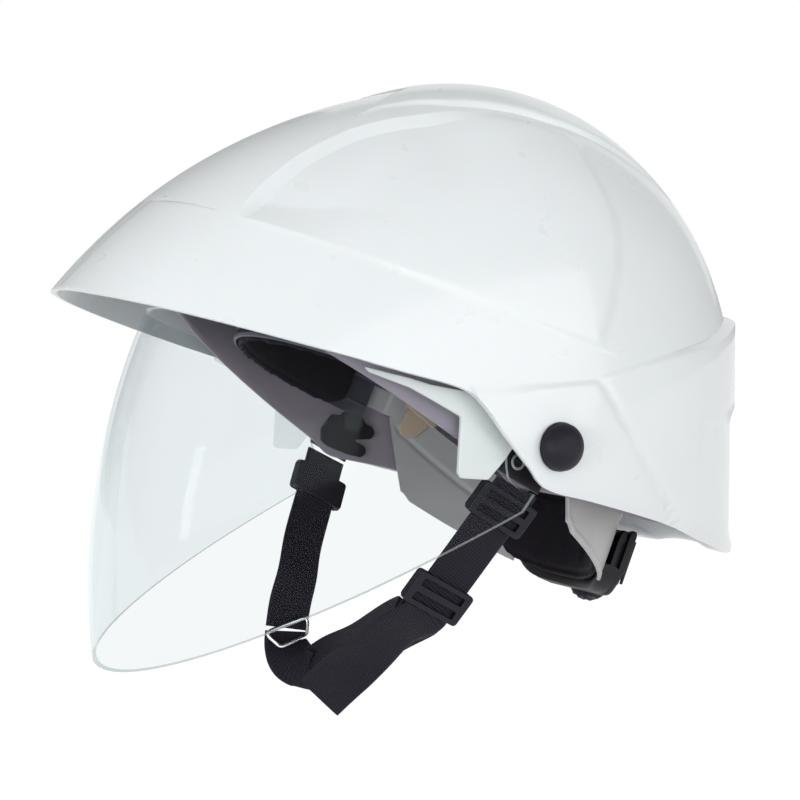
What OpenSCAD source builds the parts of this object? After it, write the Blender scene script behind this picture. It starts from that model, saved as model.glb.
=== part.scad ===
/* [Outer shell] */
// Half width of the shell at the visor pivots
shell_half_w = 100; // [97:1:104]
// Radius of the dome about the pivot axis, in the centre plane
dome_r = 167; // [164:1:172]
// How far the brim reaches beyond the dome radius
brim_rise = 71; // [60:1:80]
// Extra radius of the dome between crown and back
back_swell = 6; // [3:0.5:9]
// How much nearer the upright rear wall is to the pivot axis than the dome
rear_less = 7; // [1:1:11]
// Wall of the shell
shell_wall = 3; // [2.4:0.1:3.6]
// Height of the raised crest on the crown
crest_h = 4; // [2:0.5:6]
// Height of the raised blister on each side
blister_h = 3.5; // [2:0.5:4]
// Height of the flap panel round each pivot
flap_h = 1.2; // [0.5:0.1:2]
// How far the rear skirt band stands proud of the dome
skirt_h = 5; // [3:0.5:7]

/* [Inner cap] */
// Room at each side between visor ear and inner cap, for a washer and the chin strap's lug
side_room = 2.9; // [2.5:0.1:3.5]
// Room over the crown between the raised visor and the inner cap
crown_room = 3; // [2.5:0.5:5]
// How much smaller the cap's radius is at the back
cap_back_less = 7; // [4:1:12]
// Wall of the inner cap
cap_wall = 2.5; // [2:0.1:3]

/* [Visor] */
// Distance from the shell's outer surface to the visor's at the sides, visor raised
visor_inset = 8; // [7:0.5:9]
// How much greater that distance is in the centre plane
visor_front_more = 2; // [1:0.5:3]
// Thickness of the visor sheet
visor_t = 2; // [1.6:0.1:2.4]
// Angle by which the visor swings up to park under the shell
visor_swing = 45; // [42:1:47]
// Radius of the visor's ears round the pivots
ear_r = 24; // [21:1:26]
// How far the visor's hinge plates reach forward of the pivots
hinge_reach = 46; // [38:1:47]
// Thickness of the visor's ears
ear_t = 2.4; // [2:0.1:2.6]

/* [Pivots] */
// Diameter of the pivot axles
axle_d = 8; // [6:0.5:9]
// Radial running clearance of the visor on its axles
axle_clear = 0.05; // [0.02:0.01:0.1]
// Diameter of the pivot knobs
knob_d = 22; // [20:1:26]
// Height of the pivot knobs' dome
knob_h = 9; // [7:0.5:10]
// Outer diameter of the spacers and friction washers
washer_d = 15; // [14:1:17]
// Lock nut size across its flats
nut_af = 11; // [10:0.5:12]
// Height of the lock nuts
nut_h = 2.8; // [2.4:0.1:3]

/* [Headband] */
// Room at each side between the head and the inner cap
head_room = 13; // [12.5:0.5:15]
// Half the length of the head inside the sweatband
head_half_l = 96; // [92:1:98]
// Tilt of the headband, forehead up
band_tilt = 24; // [20:1:28]
// Height of the headband
band_h = 28; // [24:1:32]
// Wall of the headband and of the nape bands
band_wall = 2; // [1.6:0.1:2.4]
// Thickness of the sweatband pad
sweat_t = 4; // [3:0.5:4]
// Height of the sweatband pad
sweat_h = 33; // [28:1:36]

/* [Nape fitting] */
// Distance from the head seat's centre back to the nape pad's face, wheel wound half in
nape_back = 115; // [112:1:119]
// Thickness of the nape pad
nape_pad_t = 6; // [5:0.5:8]
// Half width of the nape pad
nape_pad_half_w = 44; // [38:1:48]
// Height of the nape pad
nape_pad_h = 46; // [40:1:50]
// Half width of the ratchet housing
housing_half_w = 36; // [30:1:40]
// Depth of the ratchet housing
housing_t = 8; // [7.5:0.5:11]
// Height of the ratchet housing
housing_h = 35; // [32:1:38]
// Diameter of the ratchet wheel
wheel_d = 35; // [30:1:40]
// Thickness of the ratchet wheel
wheel_t = 7; // [6:0.5:10]
// Number of grip lobes on the ratchet wheel
wheel_lobes = 20; // [14:1:28]
// Pitch radius of the pinion
pinion_r = 6.5; // [5:0.5:7.5]
// Number of pinion teeth
pinion_teeth = 10; // [8:1:14]

/* [Straps] */
// Width of the chin webbing
web_w = 24; // [20:0.5:25]
// Thickness of the chin webbing
web_t = 1.4; // [1:0.1:1.6]
// Width of the crown straps
crown_w = 19; // [15:1:22]
// Thickness of the crown straps
crown_t = 1.2; // [0.8:0.1:1.6]
// How much wider a slider buckle is than the webbing
slider_rim = 8; // [6:0.5:10]
// Length of a slider buckle along the webbing
slider_l = 16; // [14:1:18]
// Thickness of a slider buckle
slider_t = 5; // [4:0.5:5.5]
// Wire diameter of the loop on the chin strap
wire_d = 2; // [1.6:0.1:2.4]

/* [Hidden] */
$fn = 48;
// Play between pieces that lie side by side
gap = 0.2;
// Centre of the head seat as seen from the middle of the pivot axis
seat = [0, -4, 20];
// Exponent of the shell's curve round the pivots
curve_m = 1.88;
// Exponents of its flank, at the brim and over the crown
flank_brim = 2.13;
flank_crown = 2.54;
// Lower edge of the shell: back, up, and the crown angle that each point is joined to. The places are
// for a dome of 167 mm, and scale with it
shell_edge = [for (p = [
    [-190, 68.4, 19.8], [-178, 65, 24], [-150, 56.8, 31], [-110, 45, 40], [-75, 34.8, 50],
    [-48, 27, 60], [-37.5, 19, 68], [-28, 6, 76], [-16, -8, 84], [-5, -19, 92], [20, -26, 110],
    [52, -35, 132], [78, -43, 150], [105, -53, 168], [135, -62, 186], [157, -67, 202]
]) [p[0] * dome_r / 167, p[1] * dome_r / 167, p[2]]];
// Lower edge of the inner cap, in the same form
cap_edge = [for (p = [
    [-132, 68.2, 27.8], [-110, 52.5, 38], [-80, 31.2, 52], [-50, 9.8, 68], [-25, -8, 84],
    [-14, -19, 92], [0, -24, 102], [16, -28, 112], [34, -33, 124], [56, -38.5, 138], [84, -41, 156], [112, -41, 172],
    [135, -39.5, 196]
]) [p[0] * dome_r / 167, p[1] * dome_r / 167, p[2]]];
// Visor at rest: where its edges leave the ears, back and up, and their angles in the centre plane
visor_low_at = [[-6, -22], [-12, -29.6]];
visor_top_at = [-11, 19];
visor_low_angle = -29;
visor_top_angle = 23;

// Places along the pivot axis, from outside to inside
shell_out_x = shell_half_w + flap_h;
shell_in_x = shell_half_w - shell_wall;
ear_out_x = shell_half_w - visor_inset - gap;
ear_in_x = ear_out_x - ear_t;
cap_half_w = ear_in_x - side_room;
cap_r = dome_r - visor_inset - visor_front_more - visor_t - crown_room;
cap_in_x = cap_half_w - cap_wall;
nut_out_x = cap_in_x - 0.8;
axle_in_x = nut_out_x - nut_h;
bore_d = axle_d + 2 * axle_clear;

// Chin strap anchors in the cap's side wall
anchor_at = [-13.5, -7];
peg_d = 5;
eyelet_t = 0.24 * side_room;
lug_t = side_room - eyelet_t - 3.5 * gap;
lug_in_x = cap_half_w + gap / 2;
lug_out_x = lug_in_x + lug_t;

function smooth(t) = let (c = min(1, max(0, t))) c * c * (3 - 2 * c);
function mix(a, b, t) = a + (b - a) * t;
function angle_of(y, z) = let (a = atan2(z, -y)) a < -90 ? a + 360 : a;

// Centre-plane radius of the dome at an angle from straight ahead, over the crown
function dome(a) = let (p = min(202, max(10, a)))
    p < 160
        ? dome_r + brim_rise * pow(max(0, 1 - p / 75), 2) + back_swell * (p > 75 ? sin((p - 75) * 1.8) : 0)
        : (dome_r - rear_less) / cos(180 - p);
function flank(a) = mix(flank_brim, flank_crown, smooth((a - 20) / 60));
function cap_dome(a) = cap_r - cap_back_less * smooth((a - 120) / 50);

// How far across a surface of half width w and radius r(a) lies, at a fraction f of that radius
function across(w, f, a) = w * pow(max(0, 1 - pow(min(1, f), curve_m)), 1 / flank(a));

// Relief on the shell at a place x across, y back, z up. The crest stands on the outline; the shell beside it
// lies lower
function crest(x, a) = crest_h * smooth((a - 60) / 9) * smooth((142 - a) / 24) * smooth((82 - abs(x)) / 22)
    * (smooth((24 + 34 * smooth((a - 66) / 40) - abs(x)) / 5 + 0.5) - 1);
function blister(x, y, z) = blister_h * smooth((abs(x) - 41) / 7) * smooth((z - 100 + 0.365 * (y + 130)) / 6)
    * smooth((36 + 0.12 * (z - 44) - y) / 6) * smooth((y + 134) / 8);
function flap_rear(z) = 23 + 0.73 * (31 - z);
function flap(y, z) = flap_h * smooth((flap_rear(z) - y) / 4) * smooth((28 + 0.05 * y - z) / 4);
function skirt(y, z) = let (top = 31 + 0.17 * (y - 22) + 3.5 * smooth((y - 100) / 50))
    (0.8 + (skirt_h - 0.8) * smooth((y - 25) / 100)) * smooth((y - flap_rear(z)) / 4) * smooth((top - z) / 4)
    + smooth((y - 90) / 20) * (6.5 * pow(smooth((-48 - z) / 20), 2) - 2.2 * smooth((10 - z) / 5));
function relief(x, y, z) = let (a = angle_of(y, z)) crest(x, a) + blister(x, y, z) + flap(y, z) + skirt(y, z);

// Rows of a list, with n steps from each row to the next on a smooth curve
function spread(rows, n) = let (k = len(rows) - 1)
    [for (i = [0:k * n])
        let (j = min(k - 1, floor(i / n)), t = (i - j * n) / n, p0 = rows[max(0, j - 1)], p1 = rows[j],
             p2 = rows[j + 1], p3 = rows[min(k, j + 2)])
        0.5 * (2 * p1 + (p2 - p0) * t + (2 * p0 - 5 * p1 + 4 * p2 - p3) * t * t
            + (3 * p1 - p0 - 3 * p2 + p3) * t * t * t)];

// Place on a dome on the straight line, seen from the side, from an edge point to its crown point
function dome_place(row, v, w, r_of) =
    let (s = 1 - pow(1 - abs(v), 2), c = r_of(row[2]) * [-cos(row[2]), sin(row[2])],
         y = mix(row[0], c[0], s), z = mix(row[1], c[1], s), a = angle_of(y, z),
         f = min(1, norm([y, z]) / r_of(a)), x = sign(v == 0 ? 1 : v) * across(w, f, a))
    [x, y, z, r_of(a)];
// Rows and columns of a dome's skin, d outside its base surface; v runs from one side over the crown
function dome_skin(rows, cols, w, r_of, d_of) =
    [for (row = rows) [for (j = [-cols:cols])
        let (side = j < 0 ? -1 : 1, v = 1 - abs(j) / cols,
             p = dome_place(row, v, w, r_of), d = d_of(p[0], p[1], p[2]))
        [side * p[0] * (w + d) / w, p[1] * (p[3] + d) / p[3], p[2] * (p[3] + d) / p[3]]]];

// Closed solid between two skins with the same rows and columns
module between(outer, inner) {
    nr = len(outer);
    nc = len(outer[0]);
    n = nr * nc;
    pts = concat([for (r = outer) for (p = r) p], [for (r = inner) for (p = r) p]);
    faces = concat(
        [for (i = [0:nr - 2]) for (j = [0:nc - 2]) let (a = i * nc + j, b = a + 1, c = b + nc, d = a + nc)
            each [[a, c, b], [a, d, c], [n + a, n + b, n + c], [n + a, n + c, n + d]]],
        [for (j = [0:nc - 2]) let (a = j, b = j + 1, d = (nr - 1) * nc + j, c = d + 1)
            each [[a, b, n + b], [a, n + b, n + a], [c, d, n + d], [c, n + d, n + c]]],
        [for (i = [0:nr - 2]) let (a = i * nc, d = a + nc, b = a + nc - 1, c = b + nc)
            each [[d, a, n + a], [d, n + a, n + d], [b, c, n + c], [b, n + c, n + b]]]
    );
    polyhedron(points = pts, faces = faces, convexity = 8);
}
// Closed solid through closed sections, each with the same number of points
module loft(sections) {
    nr = len(sections);
    nc = len(sections[0]);
    pts = [for (s = sections) for (p = s) p];
    faces = concat(
        [for (i = [0:nr - 2]) for (j = [0:nc - 1]) let (k = (j + 1) % nc)
            let (a = i * nc + j, b = i * nc + k) each [[a, b, b + nc], [a, b + nc, a + nc]]],
        [for (j = [1:nc - 2]) [0, j + 1, j]],
        [for (j = [1:nc - 2]) let (e = (nr - 1) * nc) [e, e + j, e + j + 1]]
    );
    polyhedron(points = pts, faces = faces, convexity = 8);
}
function unit(v) = v / max(1e-6, norm(v));
// Flat webbing along points, each with the direction that its face looks
module webbing(path, face, width, thick) {
    k = len(path) - 1;
    tangent = [for (i = [0:k]) unit(path[min(k, i + 1)] - path[max(0, i - 1)])];
    side = [for (i = [0:k]) unit(cross(tangent[i], face[i]))];
    up = [for (i = [0:k]) unit(cross(side[i], tangent[i]))];
    function edges(h) = [for (i = [0:k]) [for (s = [-1, 1]) path[i] + side[i] * s * width / 2 + up[i] * h]];
    between(edges(thick / 2), edges(-thick / 2));
}
module from_seat() translate(-seat) children();
module in_band() rotate([-band_tilt, 0, 0]) children();
module both_sides() { children(); mirror([1, 0, 0]) children(); }
module on_side(s) mirror([s < 0 ? 1 : 0, 0, 0]) children();
module along_x(x0, x1, d) translate([x0, 0, 0]) rotate([0, 90, 0]) cylinder(h = x1 - x0, d = d);

module outer_shell() from_seat() color([0.93, 0.95, 0.95]) difference() {
    rows = spread(shell_edge, 3);
    between(
        dome_skin(rows, 18, shell_half_w, function(a) dome(a), function(x, y, z) relief(x, y, z)),
        dome_skin(rows, 18, shell_half_w, function(a) dome(a),
            function(x, y, z) crest(x, angle_of(y, z)) - shell_wall)
    );
    along_x(-shell_out_x - 9, shell_out_x + 9, bore_d);
}

module inner_cap() from_seat() color([0.80, 0.79, 0.82]) difference() {
    rows = spread(cap_edge, 3);
    between(
        dome_skin(rows, 11, cap_half_w, function(a) cap_dome(a), function(x, y, z) 0),
        dome_skin(rows, 11, cap_half_w, function(a) cap_dome(a), function(x, y, z) -cap_wall)
    );
    along_x(-cap_half_w - 9, cap_half_w + 9, bore_d);
    translate([0, anchor_at[0], anchor_at[1]]) along_x(-cap_half_w - 9, cap_half_w + 9, peg_d + gap);
}

// Visor sheet: place at column t from ear to centre, row v from lower to upper edge, at an inset
function visor_r(a, inset) = dome(a + visor_swing) - inset - visor_front_more;
function polar(y, z, inset) = let (a = atan2(z, -y)) [a, norm([y, z]) / visor_r(a, inset)];
function on_angle(a, inset) = visor_r(a, inset) * [-cos(a), sin(a)];
function visor_place(t, v, inset) =
    let (q = 1 - pow(1 - t, 1.8), front = on_angle(visor_low_angle, visor_inset), ear_part = 0.1,
         low = t < ear_part
             ? mix(visor_low_at[0], visor_low_at[1], t / ear_part)
             : mix(visor_low_at[1], front, 1 - pow(1 - (t - ear_part) / (1 - ear_part), 1.8)),
         high = mix(visor_top_at, on_angle(visor_top_angle, visor_inset), q),
         pl = polar(low[0], low[1], visor_inset), ph = polar(high[0], high[1], visor_inset),
         a = mix(pl[0], ph[0], v), f = min(1, mix(pl[1], ph[1], v)), r = f * visor_r(a, inset))
    [across(shell_half_w - inset, f, a + visor_swing), -r * cos(a), r * sin(a)];
function visor_skin(inset, cols, rows) =
    [for (i = [0:rows]) [for (j = [-cols:cols])
        let (p = visor_place(1 - abs(j) / cols, i / rows, inset)) [sign(j) * p[0], p[1], p[2]]]];
module visor() from_seat() color([0.80, 0.92, 0.90, 0.35]) difference() {
    union() {
        between(visor_skin(visor_inset, 14, 10), visor_skin(visor_inset + visor_t, 14, 10));
        both_sides() translate([ear_in_x, 0, 0]) rotate([90, 0, 90]) linear_extrude(ear_t) hull() {
            circle(ear_r);
            polygon([[1.5 - hinge_reach, 18], [-hinge_reach, -10], [12 - hinge_reach, -13]]);
        }
    }
    along_x(-shell_half_w, shell_half_w, bore_d);
}

module pivot_axle(s) from_seat() on_side(s) color("silver")
    along_x(axle_in_x, shell_out_x + 2.2, axle_d);
module left_pivot_axle() pivot_axle(1);
module right_pivot_axle() pivot_axle(-1);

module pivot_knob(s) from_seat() on_side(s) color([0.08, 0.08, 0.11])
    translate([shell_out_x + gap, 0, 0]) rotate([0, 90, 0]) difference() {
        rotate_extrude() polygon(concat(
            [[0, 0], [knob_d / 2, 0], [knob_d / 2, 1.2]],
            [for (i = [1:8]) let (f = 1 - i / 11) [knob_d / 2 * f, knob_h - (knob_h - 1.2) * f * f]],
            [[0, knob_h - 0.6]]
        ));
        translate([0, 0, -1]) cylinder(h = 3.5, d = bore_d);
    }
module left_pivot_knob() pivot_knob(1);
module right_pivot_knob() pivot_knob(-1);

module rings(x0, x1) both_sides() difference() {
    along_x(x0, x1, washer_d);
    along_x(x0 - 1, x1 + 1, bore_d);
}
module pivot_spacers() from_seat() color("gray") rings(ear_out_x + gap, shell_in_x - 0.6);
module friction_washers() from_seat() color([0.2, 0.2, 0.22]) rings(cap_half_w + gap, ear_in_x - gap);
module lock_nuts() from_seat() color("silver") both_sides() difference() {
    translate([nut_out_x - nut_h, 0, 0]) rotate([0, 90, 0])
        cylinder(h = nut_h, d = nut_af / cos(30), $fn = 6);
    along_x(axle_in_x - 1, cap_half_w, bore_d);
}

// Place on an ellipse at an angle from straight ahead, w to the side and l ahead
function oval(w, l, t) = [w * sin(t), -l * cos(t)];
function oval_out(w, l, t) = unit([sin(t) / w, -cos(t) / l]);
head_half_w = cap_half_w - head_room;
band_w = head_half_w + sweat_t + gap;
band_l = head_half_l + sweat_t + gap;
band_reach = 98;
rail_end = -(band_l + band_wall) * cos(band_reach) - 0.2;
tongue_t = 1.2;
tongue_h = 12;
tongue_x = band_w + band_wall + gap;
rail_t = 2;

module headband() in_band() color([0.55, 0.53, 0.60]) {
    arc = [for (t = [-band_reach:5:band_reach]) t];
    linear_extrude(band_h, center = true) polygon(concat(
        [for (t = arc) oval(band_w + band_wall, band_l + band_wall, t)],
        [for (k = [len(arc) - 1:-1:0]) oval(band_w, band_l, arc[k])]
    ));
    rail_x = (band_w + band_wall / 2) * sin(band_reach);
    both_sides() for (s = [-1, 1])
        translate([rail_x, rail_end - 14, s * (tongue_h / 2 + gap + rail_t / 2) - rail_t / 2])
            cube([tongue_x + tongue_t + gap - rail_x, 14, rail_t]);
}

// Cushion section: n points round, w thick and h tall, with flat faces and soft edges
function soft_section(w, h, n) = [for (k = [0:n - 1]) let (a = 360 * k / n)
    [w / 2 * sign(cos(a)) * pow(abs(cos(a)), 0.55), h / 2 * sign(sin(a)) * pow(abs(sin(a)), 0.7)]];
sweat_reach = 84;
module sweatband() in_band() color([0.10, 0.09, 0.11])
    loft([for (i = [0:32])
        let (t = sweat_reach * (i / 16 - 1), e = pow(1 - pow(abs(i / 16 - 1), 8), 0.5) * 0.75 + 0.25,
             c = oval(head_half_w + sweat_t / 2, head_half_l + sweat_t / 2, t),
             o = oval_out(head_half_w, head_half_l, t))
        [for (q = soft_section(sweat_t, sweat_h * e, 14))
            [c[0] + o[0] * q[0], c[1] + o[1] * q[0], q[1]]]]);

// Crown straps: each runs over the head in an upright plane, at an angle from straight ahead
strap_turn = 40;
crown_rise = 96;
clip_w = 16;
clip_h = 8;
clip_z = 2;
function strap_reach() = 1 / sqrt(pow(sin(strap_turn) / (band_w + band_wall), 2)
    + pow(cos(strap_turn) / (band_l + band_wall), 2));
function band_out(dir) = unit([dir[0] / pow(band_w, 2), dir[1] / pow(band_l, 2), 0]);
module crown_strap(s, lift) in_band() color([0.12, 0.12, 0.14]) {
    reach = strap_reach() + gap + crown_t + 1.3;
    rise = crown_rise + lift;
    start = asin((clip_z + clip_h / 2 + 0.5) / rise);
    steps = 22;
    dir = [s * sin(strap_turn), -cos(strap_turn), 0];
    turn = [for (i = [0:steps]) start + (180 - 2 * start) * i / steps];
    webbing(
        [for (a = turn) dir * reach * cos(a) + [0, 0, rise * sin(a)]],
        [for (a = turn) band_out(dir) * cos(a) / reach + [0, 0, sin(a) / rise]],
        crown_w, crown_t
    );
}
module crown_strap_left() crown_strap(1, 0);
module crown_strap_right() crown_strap(-1, crown_t + 1.6);

// Distance along a line from a place to the inside of the cap's wall
function to_pivot(p) = seat + [p[0], p[1] * cos(band_tilt) + p[2] * sin(band_tilt),
    p[2] * cos(band_tilt) - p[1] * sin(band_tilt)];
function in_cap(q) = let (a = angle_of(q[1], q[2]), f = norm([q[1], q[2]]) / cap_dome(a))
    f < 1 && abs(q[0]) < across(cap_half_w, f, a) * cap_in_x / cap_half_w * 0.998;
function wall_ahead(p, dir, lo, hi, n) = n == 0 ? lo : let (h = (lo + hi) / 2)
    in_cap(to_pivot(p + dir * h)) ? wall_ahead(p, dir, h, hi, n - 1) : wall_ahead(p, dir, lo, h, n - 1);
module suspension_clips() in_band() color([0.85, 0.86, 0.87])
    for (s = [-1, 1]) for (t = [strap_turn, 180 - strap_turn]) {
        foot = strap_reach() * [s * sin(t), -cos(t), 0];
        dir = band_out(foot);
        wide = [dir[1], -dir[0], 0];
        from = t < 90 ? 2 * gap + 0.3 : -2;
        reach = min([for (a = [-1, 0, 1]) for (b = [-1, 0, 1])
            wall_ahead(foot + wide * a * clip_w / 2 + [0, 0, clip_z + b * clip_h / 2], dir, 0, 80, 12)])
            - 0.5;
        translate(foot) rotate([0, 0, atan2(dir[1], dir[0])])
            translate([from, -clip_w / 2, clip_z - clip_h / 2]) cube([reach - from, clip_w, clip_h]);
    }

// Anchor of the chin strap: forked plate inside the cap's wall, open round the axle's nut, peg through the
// wall, eyelet outside
wall_in_x = across(cap_in_x, 21 / cap_r, 90) - 0.7;
plate_t = 2.2;
module strap_anchor(s) from_seat() on_side(s) color([0.08, 0.07, 0.09]) {
    translate([wall_in_x - plate_t, 0, 0]) rotate([90, 0, 90]) linear_extrude(plate_t) difference() {
        translate(anchor_at) offset(1.2) offset(-1.2) polygon([
            [-5, 3.5], [1.2, 10.6], [10.4, 9.7], [24.7, 3.2], [26.6, -0.1], [24, -2.6], [14.1, -2.4], [15, -4.6],
            [20.3, -7.4], [20.9, -10.2], [17.8, -12.2], [10.4, -10.2], [-1.9, -5], [-5, -2.5]
        ]);
        circle(nut_af / 2 / cos(30) + 0.35);
    }
    translate([0, anchor_at[0], anchor_at[1]]) along_x(wall_in_x - 0.1, lug_out_x + gap + eyelet_t, peg_d);
}
module left_strap_anchor() strap_anchor(1);
module right_strap_anchor() strap_anchor(-1);
module anchor_eyelets() from_seat() color("silver") both_sides()
    translate([0, anchor_at[0], anchor_at[1]]) difference() {
        along_x(lug_out_x + gap, lug_out_x + gap + eyelet_t, peg_d + 2.4);
        along_x(0, shell_half_w, peg_d + 0.1);
    }

// Nape fitting, in the headband's frame: pad, plates and housing follow one oval round the neck
plate_w = head_half_w + 8.5;
plate_l = nape_back + nape_pad_t + 3;
plate_front = rail_end + 17;
nape_w = plate_w - 4;
nape_l = nape_back + nape_pad_t / 2;
nape_z = -35;
function nape_out(t, d) = oval(nape_w, nape_l, 180 - t) + oval_out(nape_w, nape_l, 180 - t) * d;

// Nape bands: plates on a straight tongue that the headband guides
function plate_x(d) = plate_w * sqrt(1 - pow((rail_end + d) / plate_l, 2));
function plate_top(y) = 6 - 0.33 * (y - plate_front);
function plate_low(y) = let (d = y - plate_front)
    d < 20 ? -7.5 - 1.7 * d : -41.5 - 3 * smooth((d - 20) / 7) - 0.2 * max(0, d - 24);
function plate_skin(angles, inset) = [for (a = angles)
    let (x = (plate_w - inset) * cos(a), y = (plate_l - inset) * sin(a),
         low = plate_low(plate_l * sin(a)), top = plate_top(plate_l * sin(a)))
    [[x, y, top], [x, y, (top + low) / 2], [x, y, low]]];
module nape_band(s) in_band() on_side(s) color([0.80, 0.82, 0.82]) {
    front = asin(plate_front / plate_l);
    back = acos((housing_half_w + gap) / (plate_w - band_wall));
    angles = [for (i = [0:18]) mix(front, back, i / 18)];
    between(plate_skin(angles, 0), plate_skin(angles, band_wall));
    translate([0, rail_end, -tongue_h / 2]) linear_extrude(tongue_h) polygon([
        [tongue_x, -18], [tongue_x + tongue_t, -18], [tongue_x + tongue_t, 12], [plate_x(22), 22],
        [plate_x(22) - band_wall, 22], [plate_x(14) - band_wall, 14], [tongue_x, 12.5]
    ]);
}
module left_nape_band() nape_band(1);
module right_nape_band() nape_band(-1);

// Nape pad: a cushion bent round the neck, lower and thinner towards its ends
module nape_pad() in_band() color([0.10, 0.09, 0.11])
    loft([for (i = [-12:12])
        let (u = -i / 12, t = asin(nape_pad_half_w / nape_w) * u,
             e = 0.3 + 0.7 * pow(1 - pow(abs(u), 6), 0.5))
        [for (q = soft_section(nape_pad_t * (0.55 + 0.45 * e), nape_pad_h * (1 - 0.12 * u * u) * e, 14))
            let (c = nape_out(t, q[0])) [c[0], c[1], nape_z + q[1]]]]);

// Ratchet housing behind the pad, with the pinion's cavity open to the back
housing_top = -25;
housing_low = housing_top - housing_h;
wheel_z = housing_top - 21;
housing_cut = 10;
housing_back = nape_back + nape_pad_t + gap + housing_t;
cavity_y = housing_back - 4.4;
cover_t = 1.6;
shaft_d = 5;
cavity_r = pinion_r + 2;
module along_y(y0, y1, d) translate([0, y0, 0]) rotate([-90, 0, 0]) cylinder(h = y1 - y0, d = d);
// Outline seen from behind: square above, rounded below
module nape_outline(half_w, y0, y1, top, low, r) translate([0, y1, 0]) rotate([90, 0, 0])
    linear_extrude(y1 - y0) hull() {
        translate([-half_w, top - 4]) square([2 * half_w, 4]);
        for (s = [-1, 1]) translate([s * (half_w - r), low + r]) circle(r);
    }
module ratchet_housing() in_band() color([0.09, 0.08, 0.10]) difference() {
    from_pad = nape_pad_t / 2 + gap;
    turn = asin((housing_half_w - from_pad / 2) / nape_w);
    intersection() {
        translate([0, 0, housing_low - 1]) linear_extrude(housing_h + 2) polygon(concat(
            [for (i = [-8:8]) nape_out(turn * i / 8, from_pad)],
            [[housing_half_w, housing_back - 4], [housing_half_w - housing_cut, housing_back],
             [housing_cut - housing_half_w, housing_back], [-housing_half_w, housing_back - 4]]
        ));
        nape_outline(housing_half_w, nape_back / 2, housing_back + 1, housing_top, housing_low, 15);
    }
    translate([0, 0, wheel_z]) {
        along_y(nape_back, housing_back + 1, shaft_d + 0.1);
        along_y(cavity_y, housing_back + 1, 2 * cavity_r);
    }
}
module ratchet_cover() in_band() color([0.12, 0.11, 0.13]) difference() {
    y0 = housing_back + gap;
    nape_outline(housing_half_w - housing_cut - 0.5, y0, y0 + cover_t, housing_top - 2, housing_low + 2, 12);
    translate([0, 0, wheel_z]) along_y(y0 - 1, y0 + cover_t + 1, shaft_d + 0.1);
}
wheel_y = housing_back + gap + cover_t + gap;
module ratchet_wheel() in_band() color([0.08, 0.08, 0.10]) translate([0, 0, wheel_z]) {
    translate([0, wheel_y + wheel_t, 0]) rotate([90, 0, 0]) linear_extrude(wheel_t)
        polygon([for (k = [0:6 * wheel_lobes - 1]) let (a = 60 * k / wheel_lobes)
            (wheel_d / 2 - 0.9 * (0.5 - 0.5 * cos(wheel_lobes * a))) * [cos(a), sin(a)]]);
    along_y(nape_back + nape_pad_t + 2 * gap + 1, wheel_y + 1, shaft_d);
}
module ratchet_pinion() in_band() color([0.75, 0.75, 0.73]) translate([0, 0, wheel_z]) difference() {
    translate([0, housing_back - gap, 0]) rotate([90, 0, 0]) linear_extrude(housing_back - 2 * gap - cavity_y)
        polygon([for (k = [0:4 * pinion_teeth - 1]) let (a = 90 * k / pinion_teeth)
            (pinion_r + (k % 4 < 2 ? 1 : -1)) * [cos(a), sin(a)]]);
    along_y(nape_back, wheel_y, shaft_d + 0.04);
}

// Side straps: each hangs from a lug on the anchor's peg and runs straight through its slider
strap_top = [lug_in_x + lug_t / 2 - 0.35, -13.8, -19.5];
strap_dir = unit([-21, -27.8, -48.9]);
strap_face = unit([1, 0, 0] - strap_dir * strap_dir[0]);
strap_side = cross(strap_dir, strap_face);
slider_w = web_w + slider_rim;
left_slider_from_top = slider_l / 2 + 2.8;
right_slider_from_top = left_slider_from_top + 6;
keeper_from_top = 60;
function on_run(d, out) = strap_top + strap_dir * d + strap_face * out;
function below_keeper(d, out) = on_run(keeper_from_top + d, out);
// Place below the run; the places are for strap tops at 87 mm, and spread with them
function below(x, y, z) = [x * strap_top[0] / 87, y, z];
lug_low = [-12.3, -16.5];
module strap_lug(s) from_seat() on_side(s) color([0.08, 0.07, 0.09]) difference() {
    edge = unit([strap_side[1], strap_side[2]]) * web_w / 2;
    rise = unit([-edge[1], edge[0]]) * -4;
    translate([lug_in_x, 0, 0]) rotate([90, 0, 90]) linear_extrude(lug_t) hull() {
        translate(anchor_at) circle(6.2);
        polygon([lug_low + edge, lug_low - edge, lug_low - edge + rise, lug_low + edge + rise]);
    }
    translate([0, anchor_at[0], anchor_at[1]]) along_x(lug_in_x - 1, lug_out_x + 1, peg_d + 0.1);
}
module left_strap_lug() strap_lug(1);
module right_strap_lug() strap_lug(-1);
strap_start = [(lug_in_x + lug_out_x) / 2, lug_low[0] - 0.35, lug_low[1] - 0.8];
module left_side_strap() from_seat() color([0.10, 0.09, 0.12])
    webbing([strap_start, strap_top, below_keeper(6, 0)], [[1, 0, 0], strap_face, strap_face], web_w, web_t);
module right_side_strap() from_seat() on_side(-1) color([0.10, 0.09, 0.12])
    webbing(
        [strap_start, strap_top, below_keeper(-10, 0), below(62.5, -44, -76), below(61, -49, -90),
         below(60, -52, -103)],
        [[1, 0, 0], strap_face, strap_face, [1, -0.1, -0.2], [1, 0, -0.1], [1, 0, 0]], web_w, web_t);
under_buckle = slider_t / 2 + web_t / 2 + gap;
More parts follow.
